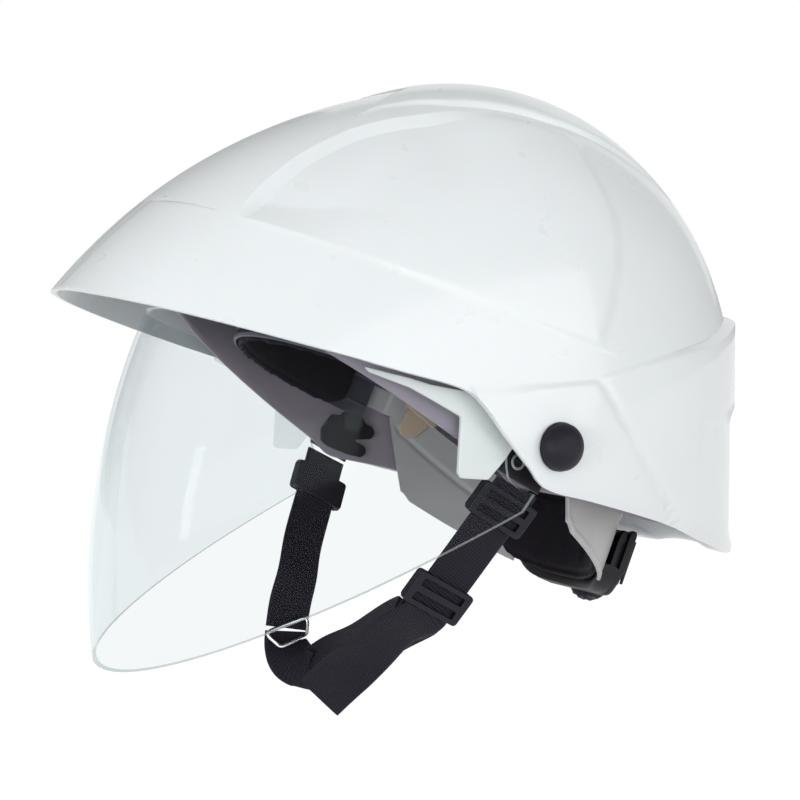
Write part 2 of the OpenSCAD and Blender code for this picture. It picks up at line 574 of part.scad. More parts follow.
module under_chin_strap() from_seat() color([0.12, 0.12, 0.17])
    webbing(
        [below(-59.6, -52.3, -104.4), below(-58.5, -53, -110.5), below(-55.3, -51.5, -117.8),
         below(-52.8, -47.5, -122.6), below(-49, -41.5, -123.5), below(-34.1, -37.8, -115),
         below(-5.1, -38.7, -103.8), below(27.9, -41.3, -88.5), below(46, -42.6, -81),
         below(55, -44, -77.9), below_keeper(9, -under_buckle - 0.3), below_keeper(-4, -under_buckle)],
        [[-1, 0, 0], [-1, 0.05, -0.05], [-0.93, 0.34, 0.13], [-0.74, 0.63, 0.24], [-0.36, 0.87, 0.33],
         [-0.08, 0.93, 0.35], [-0.08, 0.93, 0.35], [-0.1, 0.93, 0.35], [-0.3, 0.87, 0.38],
         [-0.7, 0.6, 0.38], -strap_face, -strap_face],
        web_w, web_t);
module strap_tail() from_seat() color([0.14, 0.13, 0.19])
    webbing(
        [below_keeper(6.6, 0), below_keeper(11, 0), below(50, -54.8, -85.5), below(38, -61.3, -98.1),
         below(24.8, -68.2, -110), below(12.8, -72.8, -121.3)],
        [strap_face, strap_face, [0.76, -0.31, -0.57], [0.75, -0.43, -0.51], [0.62, -0.73, -0.27],
         [0.58, -0.76, -0.3]],
        web_w, web_t);

// Slider buckle: flat frame that the webbing runs through, with two windows in its outer face
module on_strap(from_top) multmatrix([
    [strap_side[0], strap_dir[0], strap_face[0], strap_top[0] + strap_dir[0] * from_top],
    [strap_side[1], strap_dir[1], strap_face[1], strap_top[1] + strap_dir[1] * from_top],
    [strap_side[2], strap_dir[2], strap_face[2], strap_top[2] + strap_dir[2] * from_top],
    [0, 0, 0, 1]
]) children();
module buckle(length) difference() {
    cube([slider_w, length, slider_t], center = true);
    cube([web_w + 4 * gap, length + 2, web_t + 4 * gap], center = true);
    for (s = [-1, 1]) translate([0, s * length / 4.6, slider_t / 2])
        cube([web_w + 4 * gap, length / 4.6, slider_t], center = true);
}
module upper_slider(s, from_top) from_seat() on_side(s) color([0.07, 0.06, 0.08])
    on_strap(from_top) buckle(slider_l);
module left_upper_slider() upper_slider(1, left_slider_from_top);
module right_upper_slider() upper_slider(-1, right_slider_from_top);
module lower_slider() from_seat() color([0.08, 0.08, 0.11]) on_strap(keeper_from_top) buckle(slider_l);

// Wire loop that lies on the inner face of the right side strap, narrower below
loop_top = below(-57.9, -53, -100.6);
loop_bar = unit([0, 24.2, 5.8]) * (web_w / 2 + wire_d / 2);
loop_drop = [4, 2, -8.4];
module rod(a, b, d) {
    v = b - a;
    translate(a) rotate([0, acos(v[2] / norm(v)), atan2(v[1], v[0])]) cylinder(h = norm(v), d = d);
}
module wire_loop() from_seat() color("white") {
    corners = [loop_top - loop_bar, loop_top + loop_bar,
        loop_top + loop_bar * 0.6 + loop_drop, loop_top - loop_bar * 0.6 + loop_drop];
    for (k = [0:3]) {
        rod(corners[k], corners[(k + 1) % 4], wire_d);
        translate(corners[k]) sphere(d = wire_d);
    }
}

outer_shell();
inner_cap();
visor();
left_pivot_axle();
right_pivot_axle();
left_pivot_knob();
right_pivot_knob();
pivot_spacers();
friction_washers();
lock_nuts();
headband();
sweatband();
crown_strap_left();
crown_strap_right();
suspension_clips();
left_strap_anchor();
right_strap_anchor();
anchor_eyelets();
left_nape_band();
right_nape_band();
nape_pad();
ratchet_housing();
ratchet_cover();
ratchet_wheel();
ratchet_pinion();
left_strap_lug();
right_strap_lug();
left_side_strap();
right_side_strap();
under_chin_strap();
strap_tail();
left_upper_slider();
right_upper_slider();
lower_slider();
wire_loop();
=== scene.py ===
import math

import bmesh
import bpy
import numpy as np
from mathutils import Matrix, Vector


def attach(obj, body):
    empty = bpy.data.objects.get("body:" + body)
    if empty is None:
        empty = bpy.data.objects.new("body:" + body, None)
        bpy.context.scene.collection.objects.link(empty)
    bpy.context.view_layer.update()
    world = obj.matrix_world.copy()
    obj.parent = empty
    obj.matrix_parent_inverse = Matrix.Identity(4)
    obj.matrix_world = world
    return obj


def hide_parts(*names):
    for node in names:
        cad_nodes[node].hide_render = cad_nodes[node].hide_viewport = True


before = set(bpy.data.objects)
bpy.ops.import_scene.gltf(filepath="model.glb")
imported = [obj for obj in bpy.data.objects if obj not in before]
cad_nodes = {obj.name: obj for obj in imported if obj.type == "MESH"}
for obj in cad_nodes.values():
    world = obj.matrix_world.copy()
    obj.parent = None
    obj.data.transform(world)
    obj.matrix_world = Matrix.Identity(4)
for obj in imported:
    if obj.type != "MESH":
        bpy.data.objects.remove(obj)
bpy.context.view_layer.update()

# Outer shell.
# The hard hat itself: one moulding of glossy white thermoplastic, 2.5 to 3 mm thick, pointed over the brow. The
# crest, the side panels, the hinge flaps and the skirt band at the back are all part of the mould
PIVOT = np.array([0.0, -4.0, 20.0])
SHELL_HALF_WIDTH = 100.0


def at(p):
    """Millimetres about the middle of the visor's pivot axis, turned into metres in the part's frame."""
    return (np.asarray(p, float) - PIVOT) / 1000.0


class Wire:
    """An output socket that does arithmetic: 1 - wire * 2 adds the Math nodes for it."""

    def __init__(self, socket):
        self.socket = socket

    def calc(self, kind, *others):
        tree = self.socket.id_data
        node = tree.nodes.new("ShaderNodeMath")
        node.operation = kind
        for i, value in enumerate((self, *others)):
            if isinstance(value, Wire):
                tree.links.new(value.socket, node.inputs[i])
            else:
                node.inputs[i].default_value = value
        return Wire(node.outputs[0])

    def __add__(self, other):
        return self.calc("ADD", other)

    def __mul__(self, other):
        return self.calc("MULTIPLY", other)

    def __rsub__(self, other):
        return (self * -1.0).calc("ADD", other)

    __radd__, __rmul__ = __add__, __mul__


class Finish:
    """A node tree being put together, of a material or of the world."""

    def __init__(self, owner):
        self.owner = owner
        owner.use_nodes = True
        self.tree = owner.node_tree
        self.tree.nodes.clear()

    def add(self, kind, sockets=(), out=0, **settings):
        """A node of a kind: its settings are set first, then each socket gets its value or its link."""
        node = self.tree.nodes.new("ShaderNode" + kind)
        for key, value in settings.items():
            setattr(node, key, value)
        for key, value in dict(sockets).items():
            if isinstance(value, Wire):
                self.tree.links.new(value.socket, node.inputs[key])
            else:
                node.inputs[key].default_value = value
        return Wire(node.outputs[out]) if node.outputs else node

    def place(self):
        return self.add("TexCoord", out="Object")

    def noise(self, place, scale, detail=3.0):
        return self.add("TexNoise", {"Vector": place, "Scale": scale, "Detail": detail, "Roughness": 0.55}, "Fac")

    def spread(self, value, low, high):
        """The value stretched so that low becomes 0 and high becomes 1."""
        return self.add("MapRange", {"Value": value, "From Min": low, "From Max": high}, "Result")

    def blend(self, share, dark, light):
        """A colour between two colours, by share."""
        ends = [c if isinstance(c, Wire) else (*c, 1.0) for c in (dark, light)]
        return self.add("Mix", {0: share, 6: ends[0], 7: ends[1]}, 2, data_type="RGBA")

    def bump(self, height, strength, distance):
        return self.add("Bump", {"Height": height, "Strength": strength, "Distance": distance})

    def done(self, surface):
        self.add("OutputMaterial", {"Surface": surface})
        return self.owner


def finish(name):
    return Finish(bpy.data.materials.new(name))


def moulded(name, colour, roughness, coat=0.0, grain=0.0, scale=900.0, spread=0.04, wear=0.0, worn=None, scratch=0.0,
            glow=0.0, shine=0.5):
    """Moulded plastic: mottled tone, uneven gloss, the mould's fine grain, edges rubbed paler, faint scratches."""
    f = finish(name)
    place = f.place()
    base = f.blend(f.spread(f.noise(place, 22.0, 4.0), 0.3, 0.7), [c * (1 - spread) for c in colour],
                   [min(1, c * (1 + spread)) for c in colour])
    if wear:
        edge = f.spread(f.add("NewGeometry", out="Pointiness"), 0.53, 0.62)
        patchy = edge * f.spread(f.noise(place, 160.0, 5.0), 0.42, 0.62) * wear
        base = f.blend(patchy, base, worn or [min(1, c * 1.8 + 0.05) for c in colour])
    rough = f.spread(f.noise(place, 60.0, 5.0), 0.25, 0.75) * 0.08 + (roughness - 0.04)
    height = f.noise(place, scale, 2.0) * grain
    if scratch:
        turned = f.add("Mapping", {"Vector": place, "Rotation": (0.5, 0.9, 0.4), "Scale": (700, 700, 14)})
        marks = f.spread(f.noise(turned, 1.0, 2.0), 0.70, 0.78) * f.spread(f.noise(place, 35.0, 2.0), 0.5, 0.7)
        rough = rough + marks * scratch
        height = height + marks * -0.4
    return f.done(f.add("BsdfPrincipled", {
        "Base Color": base, "Roughness": rough, "Normal": f.bump(height, 0.35, 0.00012), "IOR": 1.5,
        "Coat Weight": coat, "Coat Roughness": 0.08, "Specular IOR Level": shine, "Subsurface Weight": glow,
        "Subsurface Radius": (0.004, 0.004, 0.004)}))


def dress(data, material):
    data.materials.clear()
    data.materials.append(material)


def mesh_piece(name, verts, faces, material, body, stands_for=(), smooth=60.0, uv=None):
    """A piece from vertices in metres and arrays of faces, each all quads or all triangles. It rides its body,
    and the nodes that it stands for get its finish too."""
    data = bpy.data.meshes.new(name)
    verts = np.asarray(verts, np.float32).reshape(-1, 3)
    groups = faces if isinstance(faces, (list, tuple)) else [faces]
    corners = np.concatenate([np.asarray(g, np.int32).ravel() for g in groups])
    sizes = np.concatenate([np.full(len(g), np.shape(g)[1], np.int32) for g in groups])
    starts = np.concatenate([[0], np.cumsum(sizes)[:-1]]).astype(np.int32)
    data.vertices.add(len(verts))
    data.vertices.foreach_set("co", verts.ravel())
    data.loops.add(len(corners))
    data.loops.foreach_set("vertex_index", corners)
    data.polygons.add(len(sizes))
    data.polygons.foreach_set("loop_start", starts)
    data.polygons.foreach_set("use_smooth", np.ones(len(sizes), bool))
    data.update(calc_edges=True)
    if uv is not None:
        layer = data.uv_layers.new(name="UVMap")
        layer.data.foreach_set("uv", np.asarray(uv, np.float32)[corners].ravel())
    data.validate()
    data.set_sharp_from_angle(angle=math.radians(smooth))
    o = bpy.data.objects.new(name, data)
    bpy.context.collection.objects.link(o)
    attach(o, body)
    if stands_for:
        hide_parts(*stands_for)
    # the CAD nodes' own materials hold the plain names, so a number follows them here
    for mesh in (data, *(cad_nodes[n].data for n in stands_for)):
        dress(mesh, material)
    return o


def quads(nr, nc, wrap_rows=False, wrap_cols=False, first=0):
    """Faces of a grid of nr rows and nc columns whose vertices start at first."""
    i = np.arange(nr if wrap_rows else nr - 1)
    j = np.arange(nc if wrap_cols else nc - 1)
    i, j = (a.ravel() for a in np.meshgrid(i, j, indexing="ij"))
    i2, j2 = (i + 1) % nr, (j + 1) % nc
    return first + np.stack([i * nc + j, i * nc + j2, i2 * nc + j2, i2 * nc + j], axis=1)


def between(outer, inner):
    """Vertices and faces of the closed wall between two grids of the same shape: both skins, and the four rims
    that join their edges."""
    nr, nc = outer.shape[:2]
    n = nr * nc
    top = quads(nr, nc)
    under = quads(nr, nc, first=n)[:, ::-1]
    j = np.arange(nc - 1)
    i = np.arange(nr - 1)
    a0, b0 = j, j + 1
    a1, b1 = (nr - 1) * nc + j, (nr - 1) * nc + j + 1
    c0, d0 = i * nc, (i + 1) * nc
    c1, d1 = i * nc + nc - 1, (i + 1) * nc + nc - 1
    rims = np.concatenate([
        np.stack([b0, a0, n + a0, n + b0], 1),
        np.stack([a1, b1, n + b1, n + a1], 1),
        np.stack([c0, d0, n + d0, n + c0], 1),
        np.stack([d1, c1, n + c1, n + d1], 1),
    ])
    verts = np.concatenate([outer.reshape(-1, 3), inner.reshape(-1, 3)])
    return verts, np.concatenate([top, under, rims])


def smooth(t):
    """An S-curve from 0 to 1: three times the square less twice the cube of t, held between 0 and 1."""
    c = np.clip(t, 0, 1)
    return c * c * (3 - 2 * c)


def mix(a, b, t):
    """From a to b by the share t."""
    return a + (b - a) * t


def unit(v):
    """Directions of length 1."""
    v = np.asarray(v, float)
    return v / np.maximum(np.linalg.norm(v, axis=-1, keepdims=True), 1e-9)


def spline(points, n):
    """n places for each step of a smooth curve (Catmull-Rom) through the points."""
    p = np.asarray(points, float)
    k = len(p) - 1
    u = np.linspace(0, k, k * n + 1)
    j = np.minimum(u.astype(int), k - 1)
    t = (u - j)[:, None]
    p0, p1, p2, p3 = p[np.maximum(j - 1, 0)], p[j], p[j + 1], p[np.minimum(j + 2, k)]
    return 0.5 * (2 * p1 + (p2 - p0) * t + (2 * p0 - 5 * p1 + 4 * p2 - p3) * t**2
                  + (3 * p1 - p0 - 3 * p2 + p3) * t**3)


def angle_of(y, z):
    """Degrees from straight ahead, over the crown, to a place seen from the side."""
    a = np.degrees(np.arctan2(z, -y))
    return np.where(a < -90, a + 360, a)


def dome(a):
    """Centre-plane radius at an angle over the crown: 167 mm, more towards the brim by the square of the angle
    left, 6 mm more in a sine wave behind the crown, and a straight back from 160 degrees."""
    p = np.clip(a, 10, 202)
    front = 167 + 71 * np.maximum(0, 1 - p / 75) ** 2 + 6 * np.where(p > 75, np.sin(np.radians((p - 75) * 1.8)), 0)
    return np.where(p < 160, front, 160 / np.cos(np.radians(180 - np.maximum(p, 150))))


def across(w, f, a):
    """Distance from the centre plane, w * (1 - f^1.88)^(1/n), with n from 2.13 at the brim to 2.54."""
    n = mix(2.13, 2.54, smooth((a - 20) / 60))
    return w * np.maximum(0, 1 - np.minimum(1, f) ** 1.88) ** (1 / n)


def crest_edge(a):
    """Half width of the raised crest at an angle over the crown."""
    return np.interp(a, (60, 71.5, 76.5, 82.5, 91.5, 101.5, 113, 119, 140),
                     (33, 33.1, 36.5, 43, 47.5, 51, 50.5, 48.5, 43))


def panel_edge(a):
    """How far out the side panel's upper edge lies at an angle over the crown."""
    return np.interp(a, (38, 45.5, 52.5, 62.5, 67, 71.5, 77, 82.5, 91.5, 101.5, 113, 119, 140),
                     (48.4, 45.3, 43.2, 42.8, 44.1, 45.9, 48.3, 49.6, 50.9, 54, 53.5, 51.5, 46))


def above_line(y, z):
    """Height over the side panel's lower line, a straight line from above the brim down to the hinge."""
    return z - 98.2 + 0.365 * (y + 125)


def crown(x, y, z):
    """The crest stands on the outline and begins in a curve. Beside it lies a panel, set back most along its
    upper edge, where a bevelled step 4.4 mm wide leads down to it, and flush along its lower line."""
    a, side = angle_of(y, z), np.abs(x)
    fade = smooth((142 - a) / 24)
    top = smooth((crest_edge(a) - side) / 1.6 + 0.5) * smooth((a - 83 + 16 * (side / 33) ** 2) / 1.6)
    shoulder = -(0.8 * smooth((a - 35) / 30) + 1.5 * smooth((a - 70) / 20)) * (1 - top) * smooth((84 - side) / 24)
    h = above_line(y, z)
    deep = np.clip(h / mix(11, 26, smooth((y + 126) / 60)), 0, 1) * smooth((88 - side) / 28) * smooth((y + 136) / 3)
    step = np.clip((side - panel_edge(a) + 2.2) / 4.4, 0, 1)
    panel = -3.4 * deep * step * (1 - smooth((a - 74) / 18))
    panel = panel + 0.35 * (smooth(h / 1.4 + 0.5) * step * smooth((y + 132) / 3) - 1)
    rear = np.interp(z, (44, 53, 64, 79, 90, 109, 125, 145), (25.5, 31.3, 37.1, 42.8, 47.5, 47.5, 44.5, 43))
    swell = smooth((rear - y) / 3.2 + 0.5) * smooth(h / 3) * smooth((y + 30) / 60)
    swell = swell * smooth((side - panel_edge(a)) / 3)
    return fade * (shoulder + panel) + swell


def flap_rear(z):
    """Where the hinge flap's rear crease lies at a height."""
    return 23 + 0.73 * (31 - z)


def flap(y, z):
    """The hinge flap stands 1.2 mm proud below its top line and ahead of its rear crease."""
    return 1.2 * smooth((flap_rear(z) - y) / 2.4) * smooth((28 + 0.05 * y - z) / 2.2)


def skirt_top(y):
    """Height of the skirt band's upper edge, rising to the back."""
    return 31 + 0.17 * (y - 22) + 3.5 * smooth((y - 100) / 50)


def skirt(y, z):
    """The skirt band grows from 0.8 to 5 mm towards the back, with a lip that flares at its foot."""
    band = (0.8 + 4.2 * smooth((y - 25) / 100)) * smooth((y - flap_rear(z)) / 2.4) * smooth((skirt_top(y) - z) / 3.2)
    lip = 6.5 * smooth((-48 - z) / 20) ** 2 - 2.2 * smooth((10 - z) / 3)
    return band + smooth((y - 90) / 20) * lip


def crossing(g, length):
    """How far along each row g turns from more to less than nothing; rows without it follow their neighbours."""
    hit = (g[:, :-1] > 0) & (g[:, 1:] <= 0)
    i, j = np.arange(len(g)), hit.argmax(1)
    t = g[i, j] / np.where(hit[i, j], g[i, j] - g[i, j + 1], 1)
    share = mix(length[i, j], length[i, j + 1], t) / length[:, -1]
    ok = hit.any(1)
    return np.interp(i, i[ok], share[ok]) * length[:, -1]


def dome_grid(edge, n, cols, w, r_of, lines=None):
    """Places on a dome and the radius at each: rows from the brim back, columns from side to side, spaced
    evenly along each row by its own length, or evenly between the lines that lines(x, y, z) gives."""
    rows = spline(edge, n)
    s = 1 - (1 - np.linspace(0, 1, 400)) ** 2
    c = r_of(rows[:, 2])[:, None] * np.stack([-np.cos(np.radians(rows[:, 2])), np.sin(np.radians(rows[:, 2]))], 1)
    y = mix(rows[:, :1], c[:, :1], s)
    z = mix(rows[:, 1:2], c[:, 1:2], s)
    a = angle_of(y, z)
    f = np.minimum(1, np.hypot(y, z) / r_of(a))
    x = across(w, f, a)
    x[:, -1] = 0
    step = np.sqrt(np.diff(x) ** 2 + np.diff(y) ** 2 + np.diff(z) ** 2)
    length = np.concatenate([np.zeros((len(rows), 1)), np.cumsum(step, axis=1)], axis=1)
    marks = [np.zeros(len(rows)), length[:, -1]]
    counts = [cols]
    if lines is not None:
        found, counts = lines(x, y, z)
        marks[1:1] = [crossing(g, length) for g in found]
        marks = list(np.maximum.accumulate(np.array(marks) + 0.05 * np.arange(len(marks))[:, None], axis=0))
        marks[-1] = length[:, -1]
    half = np.empty((len(rows), sum(counts) + 1, 3))
    for i in range(len(rows)):
        want = np.concatenate([np.linspace(marks[k][i], marks[k + 1][i], m + 1)[:-1] for k, m in enumerate(counts)]
                              + [[length[i, -1]]])
        for k, v in enumerate((x, y, z)):
            half[i, :, k] = np.interp(want, length[i], v[i])
    half[:, -1, 0] = 0
    whole = np.concatenate([half * [-1, 1, 1], half[:, -2::-1]], axis=1)
    return whole, r_of(angle_of(whole[..., 1], whole[..., 2]))


def pushed(grid, radius, w, d):
    """The grid moved d outwards: its radius and its half width w both grow by d."""
    k = (radius + d) / radius
    return np.stack([grid[..., 0] * (w + d) / w, grid[..., 1] * k, grid[..., 2] * k], axis=-1)


def rimmed(o, i, shares=(0.55, 0.22, 0.06)):
    """The closed wall between two grids, its rims rounded: the outermost rows and columns of both bend by these
    shares towards the middle between them."""
    mid = (o + i) / 2
    for k, share in enumerate(shares):
        for c in (k, -1 - k):
            for g in (o, i):
                g[:, c] = mix(g[:, c], mid[:, c], share)
                g[c] = mix(g[c], mid[c], share)
    return between(o, i)


COLUMNS = [25, 3, 14, 2, 33, 3, 5, 2, 20]


def shell_lines(x, y, z):
    """The lines that columns of the shell's grid lie along, each where its value passes nothing: both sides of
    the skirt's upper edge, of the panel's lower line, of its upper step and of the crest's edge."""
    a, h, top = angle_of(y, z), above_line(y, z), skirt_top(y)
    edges = [top - 3.2 - z, top - z, -0.7 - h, 0.7 - h, x - panel_edge(a) - 2.2, x - panel_edge(a) + 2.2,
             x - crest_edge(a) - 0.8, x - crest_edge(a) + 0.8]
    return edges, COLUMNS


SHELL_EDGE = [
    (-190, 68.4, 19.8), (-178, 65, 24), (-150, 56.8, 31), (-110, 45, 40), (-75, 34.8, 50),
    (-48, 27, 60), (-37.5, 19, 68), (-28, 6, 76), (-16, -8, 84), (-5, -19, 92), (20, -26, 110),
    (52, -35, 132), (78, -43, 150), (105, -53, 168), (135, -62, 186), (157, -67, 202),
]
shell_white = moulded("shell_white", (0.83, 0.87, 0.885), 0.3, coat=0.5, grain=0.25, scale=1400, spread=0.012)
grid, radius = dome_grid(SHELL_EDGE, 15, sum(COLUMNS), SHELL_HALF_WIDTH, dome, shell_lines)
relief = crown(*np.moveaxis(grid, -1, 0))
set_back = np.minimum(0, relief)
relief = relief + flap(grid[..., 1], grid[..., 2]) + skirt(grid[..., 1], grid[..., 2])
outside = pushed(grid, radius, SHELL_HALF_WIDTH, relief)
verts, faces = rimmed(outside, pushed(grid, radius, SHELL_HALF_WIDTH, set_back - 3.0))
shell = mesh_piece("shell", at(verts), faces, shell_white, "shell", ["outer_shell"], smooth=50)
# the panel's bevelled step keeps crisp edges, along the columns at its foot and its head, ahead of the crest
ends = np.empty(2 * len(shell.data.edges), np.int32)
shell.data.edges.foreach_get("vertices", ends)
ends = ends.reshape(-1, 2)
columns = grid.shape[1]
step = sum(COLUMNS[:5])
step = np.array([step, step + COLUMNS[5]])
angles = angle_of(grid[..., 1], grid[..., 2]).reshape(-1)
crisp = (ends < grid.shape[0] * columns).all(axis=1)
crisp &= (ends[:, 0] % columns == ends[:, 1] % columns) & np.isin(ends[:, 0] % columns, [*step, *(columns - 1 - step)])
crisp[crisp] = angles[ends[crisp, 0]] < 84
marks = shell.data.attributes["sharp_edge"]
sharp = np.zeros(len(ends), bool)
marks.data.foreach_get("value", sharp)
marks.data.foreach_set("value", sharp | crisp)

# Inner cap.
# A second, thinner moulding of grey plastic on the same kind of curves, fixed inside the shell at the pivots. The
# raised visor parks in the room between the two
CAP_HALF_WIDTH = 86.5
CAP_EDGE = [
    (-132, 68.2, 27.8), (-110, 52.5, 38), (-80, 31.2, 52), (-50, 9.8, 68), (-25, -8, 84),
    (-14, -17.5, 92), (0, -21.5, 102), (16, -25, 112), (34, -30, 124), (56, -36.5, 138), (84, -43.5, 156),
    (112, -49, 172), (135, -50, 196),
]


def cap_dome(a):
    """Centre-plane radius of the cap: 152 mm, 7 mm less towards the back."""
    return 152 - 7 * smooth((a - 120) / 50)


# the cap's colour is set darker than its own grey, as painted shade for the dim inside of the helmet: partly its own
# grey, partly painted shade
cap_grey = moulded("cap_grey", (0.32, 0.28, 0.335), 0.4, grain=0.5, scale=1100, wear=0.3)
grid, radius = dome_grid(CAP_EDGE, 12, 60, CAP_HALF_WIDTH, cap_dome)
verts, faces = rimmed(pushed(grid, radius, CAP_HALF_WIDTH, 0.0), pushed(grid, radius, CAP_HALF_WIDTH, -2.5))
mesh_piece("cap", at(verts), faces, cap_grey, "shell", ["inner_cap"])

# Visor.
# Clear polycarbonate 2 mm thick, moulded on the shell's own curves so that it parks inside them, 8 mm in at the
# sides and 10 mm ahead. It's shown turned down 45 degrees
DOWN = 45.0
SIDE_ROOM, FRONT_ROOM = 8.0, 2.0


def clear(name, tint, haze, solid=0.003, shiny=1.0):
    """Clear plastic: see-through with a faint tint, reflecting more towards the edges of the view by the fourth
    power, with faint scuffs."""
    f = finish(name)
    place = f.place()
    turned = f.add("LayerWeight", {"Blend": 0.5}, "Facing")
    scuffs = f.spread(f.noise(place, 420.0, 6.0), 0.70, 0.80) * 0.0015
    gloss = f.add("BsdfPrincipled", {"Base Color": (*haze, 1.0), "Metallic": shiny,
                                     "Roughness": f.noise(place, 30.0, 4.0) * 0.05 + 0.03})
    share = turned.calc("POWER", 4.0) * 0.6 + scuffs + solid
    return f.done(f.add("MixShader", {0: share, 1: f.add("BsdfTransparent", {"Color": (*tint, 1.0)}), 2: gloss}))


def visor_skin(inset, cols, rows):
    """One skin of the sheet: rows between its lower and its upper edge, which are curves seen from the side, at
    equal angles, and columns from ear to ear, closer together towards the front."""
    t = 1 - np.abs(np.arange(-cols, cols + 1)) / cols
    side = np.sign(np.arange(-cols, cols + 1))

    def polar(p):
        a = np.degrees(np.arctan2(p[:, 1], -p[:, 0]))
        return a, np.hypot(p[:, 0], p[:, 1]) / (dome(a + DOWN) - SIDE_ROOM - FRONT_ROOM)

    def front(a):
        r = float(dome(np.array(a + DOWN))) - SIDE_ROOM - FRONT_ROOM
        return np.array([-r * math.cos(math.radians(a)), r * math.sin(math.radians(a))])

    foot, bend, ear_top = np.array([-6.0, -22.0]), np.array([-12.0, -29.6]), np.array([-11.0, 19.0])
    low_share = (1 - (1 - np.clip((t - 0.1) / 0.9, 0, 1)) ** 1.8)[:, None]
    low = np.where(t[:, None] < 0.1, mix(foot, bend, (t / 0.1)[:, None]), mix(bend, front(-29), low_share))
    high = mix(ear_top, front(23), (1 - (1 - t) ** 1.8)[:, None])
    v = np.linspace(0, 1, rows + 1)[:, None]
    a, f = (mix(p, q, v) for p, q in zip(polar(low), polar(high)))
    f = np.minimum(1, f)
    r = f * (dome(a + DOWN) - inset - FRONT_ROOM)
    x = across(SHELL_HALF_WIDTH - inset, f, a + DOWN) * side
    return np.stack([x, -r * np.cos(np.radians(a)), r * np.sin(np.radians(a))], axis=-1)


VISOR_COLS, VISOR_ROWS = 110, 70
visor_clear = clear("visor_clear", (0.938, 0.953, 0.957), (0.90, 0.97, 0.97))
verts, faces = between(visor_skin(SIDE_ROOM, VISOR_COLS, VISOR_ROWS), visor_skin(SIDE_ROOM + 2, VISOR_COLS, VISOR_ROWS))
visor = mesh_piece("visor_sheet", at(verts), faces, visor_clear, "visor", ["visor"])
# the cut edge of the sheet looks milky
visor.data.materials.append(clear("visor_rim", (0.80, 0.86, 0.86), (0.80, 0.85, 0.85), 0.45, 0.0))
edge = np.zeros(len(visor.data.polygons), np.int32)
edge[2 * 2 * VISOR_COLS * VISOR_ROWS:] = 1
visor.data.polygons.foreach_set("material_index", edge)

# Hinge plates.
# A pale plate at each side carries the sheet on the axle. It follows the sheet's curve and runs forward along
# the sheet's upper edge; its foot is creased


def joined(parts):
    """Several pairs of vertices and faces as one."""
    verts, faces, n = [], [], 0
    for v, f in parts:
        verts.append(np.asarray(v, float).reshape(-1, 3))
        faces += [np.asarray(g) + n for g in (f if isinstance(f, list) else [f])]
        n += len(verts[-1])
    return np.concatenate(verts), faces


def rounded(points, r, n=5, closed=True):
    """A polygon with its corners rounded to radius r, n places to a corner."""
    p = [np.asarray(q, float) for q in points]
    k = len(p)
    places = []
    for i in range(k):
        a, b, c = p[i - 1], p[i], p[(i + 1) % k]
        if not closed and i in (0, k - 1):
            places.append(b)
            continue
        u, v = unit(a - b), unit(c - b)
        half = 0.5 * math.acos(max(-1.0, min(1.0, float(u @ v))))
        cut = min(r / max(math.tan(half), 1e-3), 0.45 * np.linalg.norm(a - b), 0.45 * np.linalg.norm(c - b))
        for t in np.linspace(0, 1, n):
            places.append((1 - t) ** 2 * (b + u * cut) + 2 * t * (1 - t) * b + t**2 * (b + v * cut))
    return np.array(places)


def circle(middle, r, n=32):
    """A round outline."""
    a = np.linspace(0, 2 * np.pi, n, endpoint=False)
    return np.asarray(middle, float) + r * np.stack([np.cos(a), np.sin(a)], 1)


def cut_plate(outline, holes, thick, bevel, origin, ex, ey, steps=3, creases=()):
    """A flat plate from an outline and its holes, with rounded edges: (vertices, faces) in the frame of its
    origin and its two axes. It lies evenly to both sides of their plane, and each crease, a line through two
    places, gets edges along it."""
    curve = bpy.data.curves.new("outline", "CURVE")
    curve.dimensions = "2D"
    curve.fill_mode = "BOTH"
    curve.extrude = max(thick / 2 - bevel, 1e-4)
    curve.bevel_depth = bevel
    curve.bevel_resolution = steps
    curve.offset = -bevel
    for loop in [outline, *holes]:
        line = curve.splines.new("POLY")
        line.points.add(len(loop) - 1)
        line.points.foreach_set("co", np.concatenate([np.asarray(loop, float)[:, :2], np.zeros((len(loop), 1)),
                                                      np.ones((len(loop), 1))], 1).ravel())
        line.use_cyclic_u = True
    o = bpy.data.objects.new("outline", curve)
    bpy.context.collection.objects.link(o)
    mesh = bpy.data.meshes.new_from_object(o.evaluated_get(bpy.context.evaluated_depsgraph_get()))
    work = bmesh.new()
    work.from_mesh(mesh)
    bmesh.ops.remove_doubles(work, verts=work.verts, dist=1e-4)
    for p, q in creases:
        bmesh.ops.bisect_plane(work, geom=[*work.verts, *work.edges, *work.faces], dist=1e-4, plane_co=(*p, 0),
                               plane_no=(q[1] - p[1], p[0] - q[0], 0))
    bmesh.ops.triangulate(work, faces=work.faces)
    bmesh.ops.recalc_face_normals(work, faces=work.faces)
    work.to_mesh(mesh)
    work.free()
    flat = np.empty(len(mesh.vertices) * 3)
    mesh.vertices.foreach_get("co", flat)
    v = flat.reshape(-1, 3)
    f = np.empty(len(mesh.polygons) * 3, np.int32)
    mesh.polygons.foreach_get("vertices", f)
    f = f.reshape(-1, 3)
    bpy.data.objects.remove(o)
    bpy.data.curves.remove(curve)
    bpy.data.meshes.remove(mesh)
    ex, ey = unit(ex), unit(ey)
    ez = np.cross(ex, ey)
    return np.asarray(origin, float) + v @ np.stack([ex, ey, ez]), [f]


def mirrored(piece):
    """The same vertices and faces on the other side of the centre plane."""
    v, faces = piece
    return np.asarray(v) * [-1, 1, 1], [np.asarray(g)[:, ::-1] for g in (faces if isinstance(faces, list) else [faces])]


def sided(piece):
    """A left piece and its mirrored right one, each with its side's name."""
    return ("left", piece), ("right", mirrored(piece))


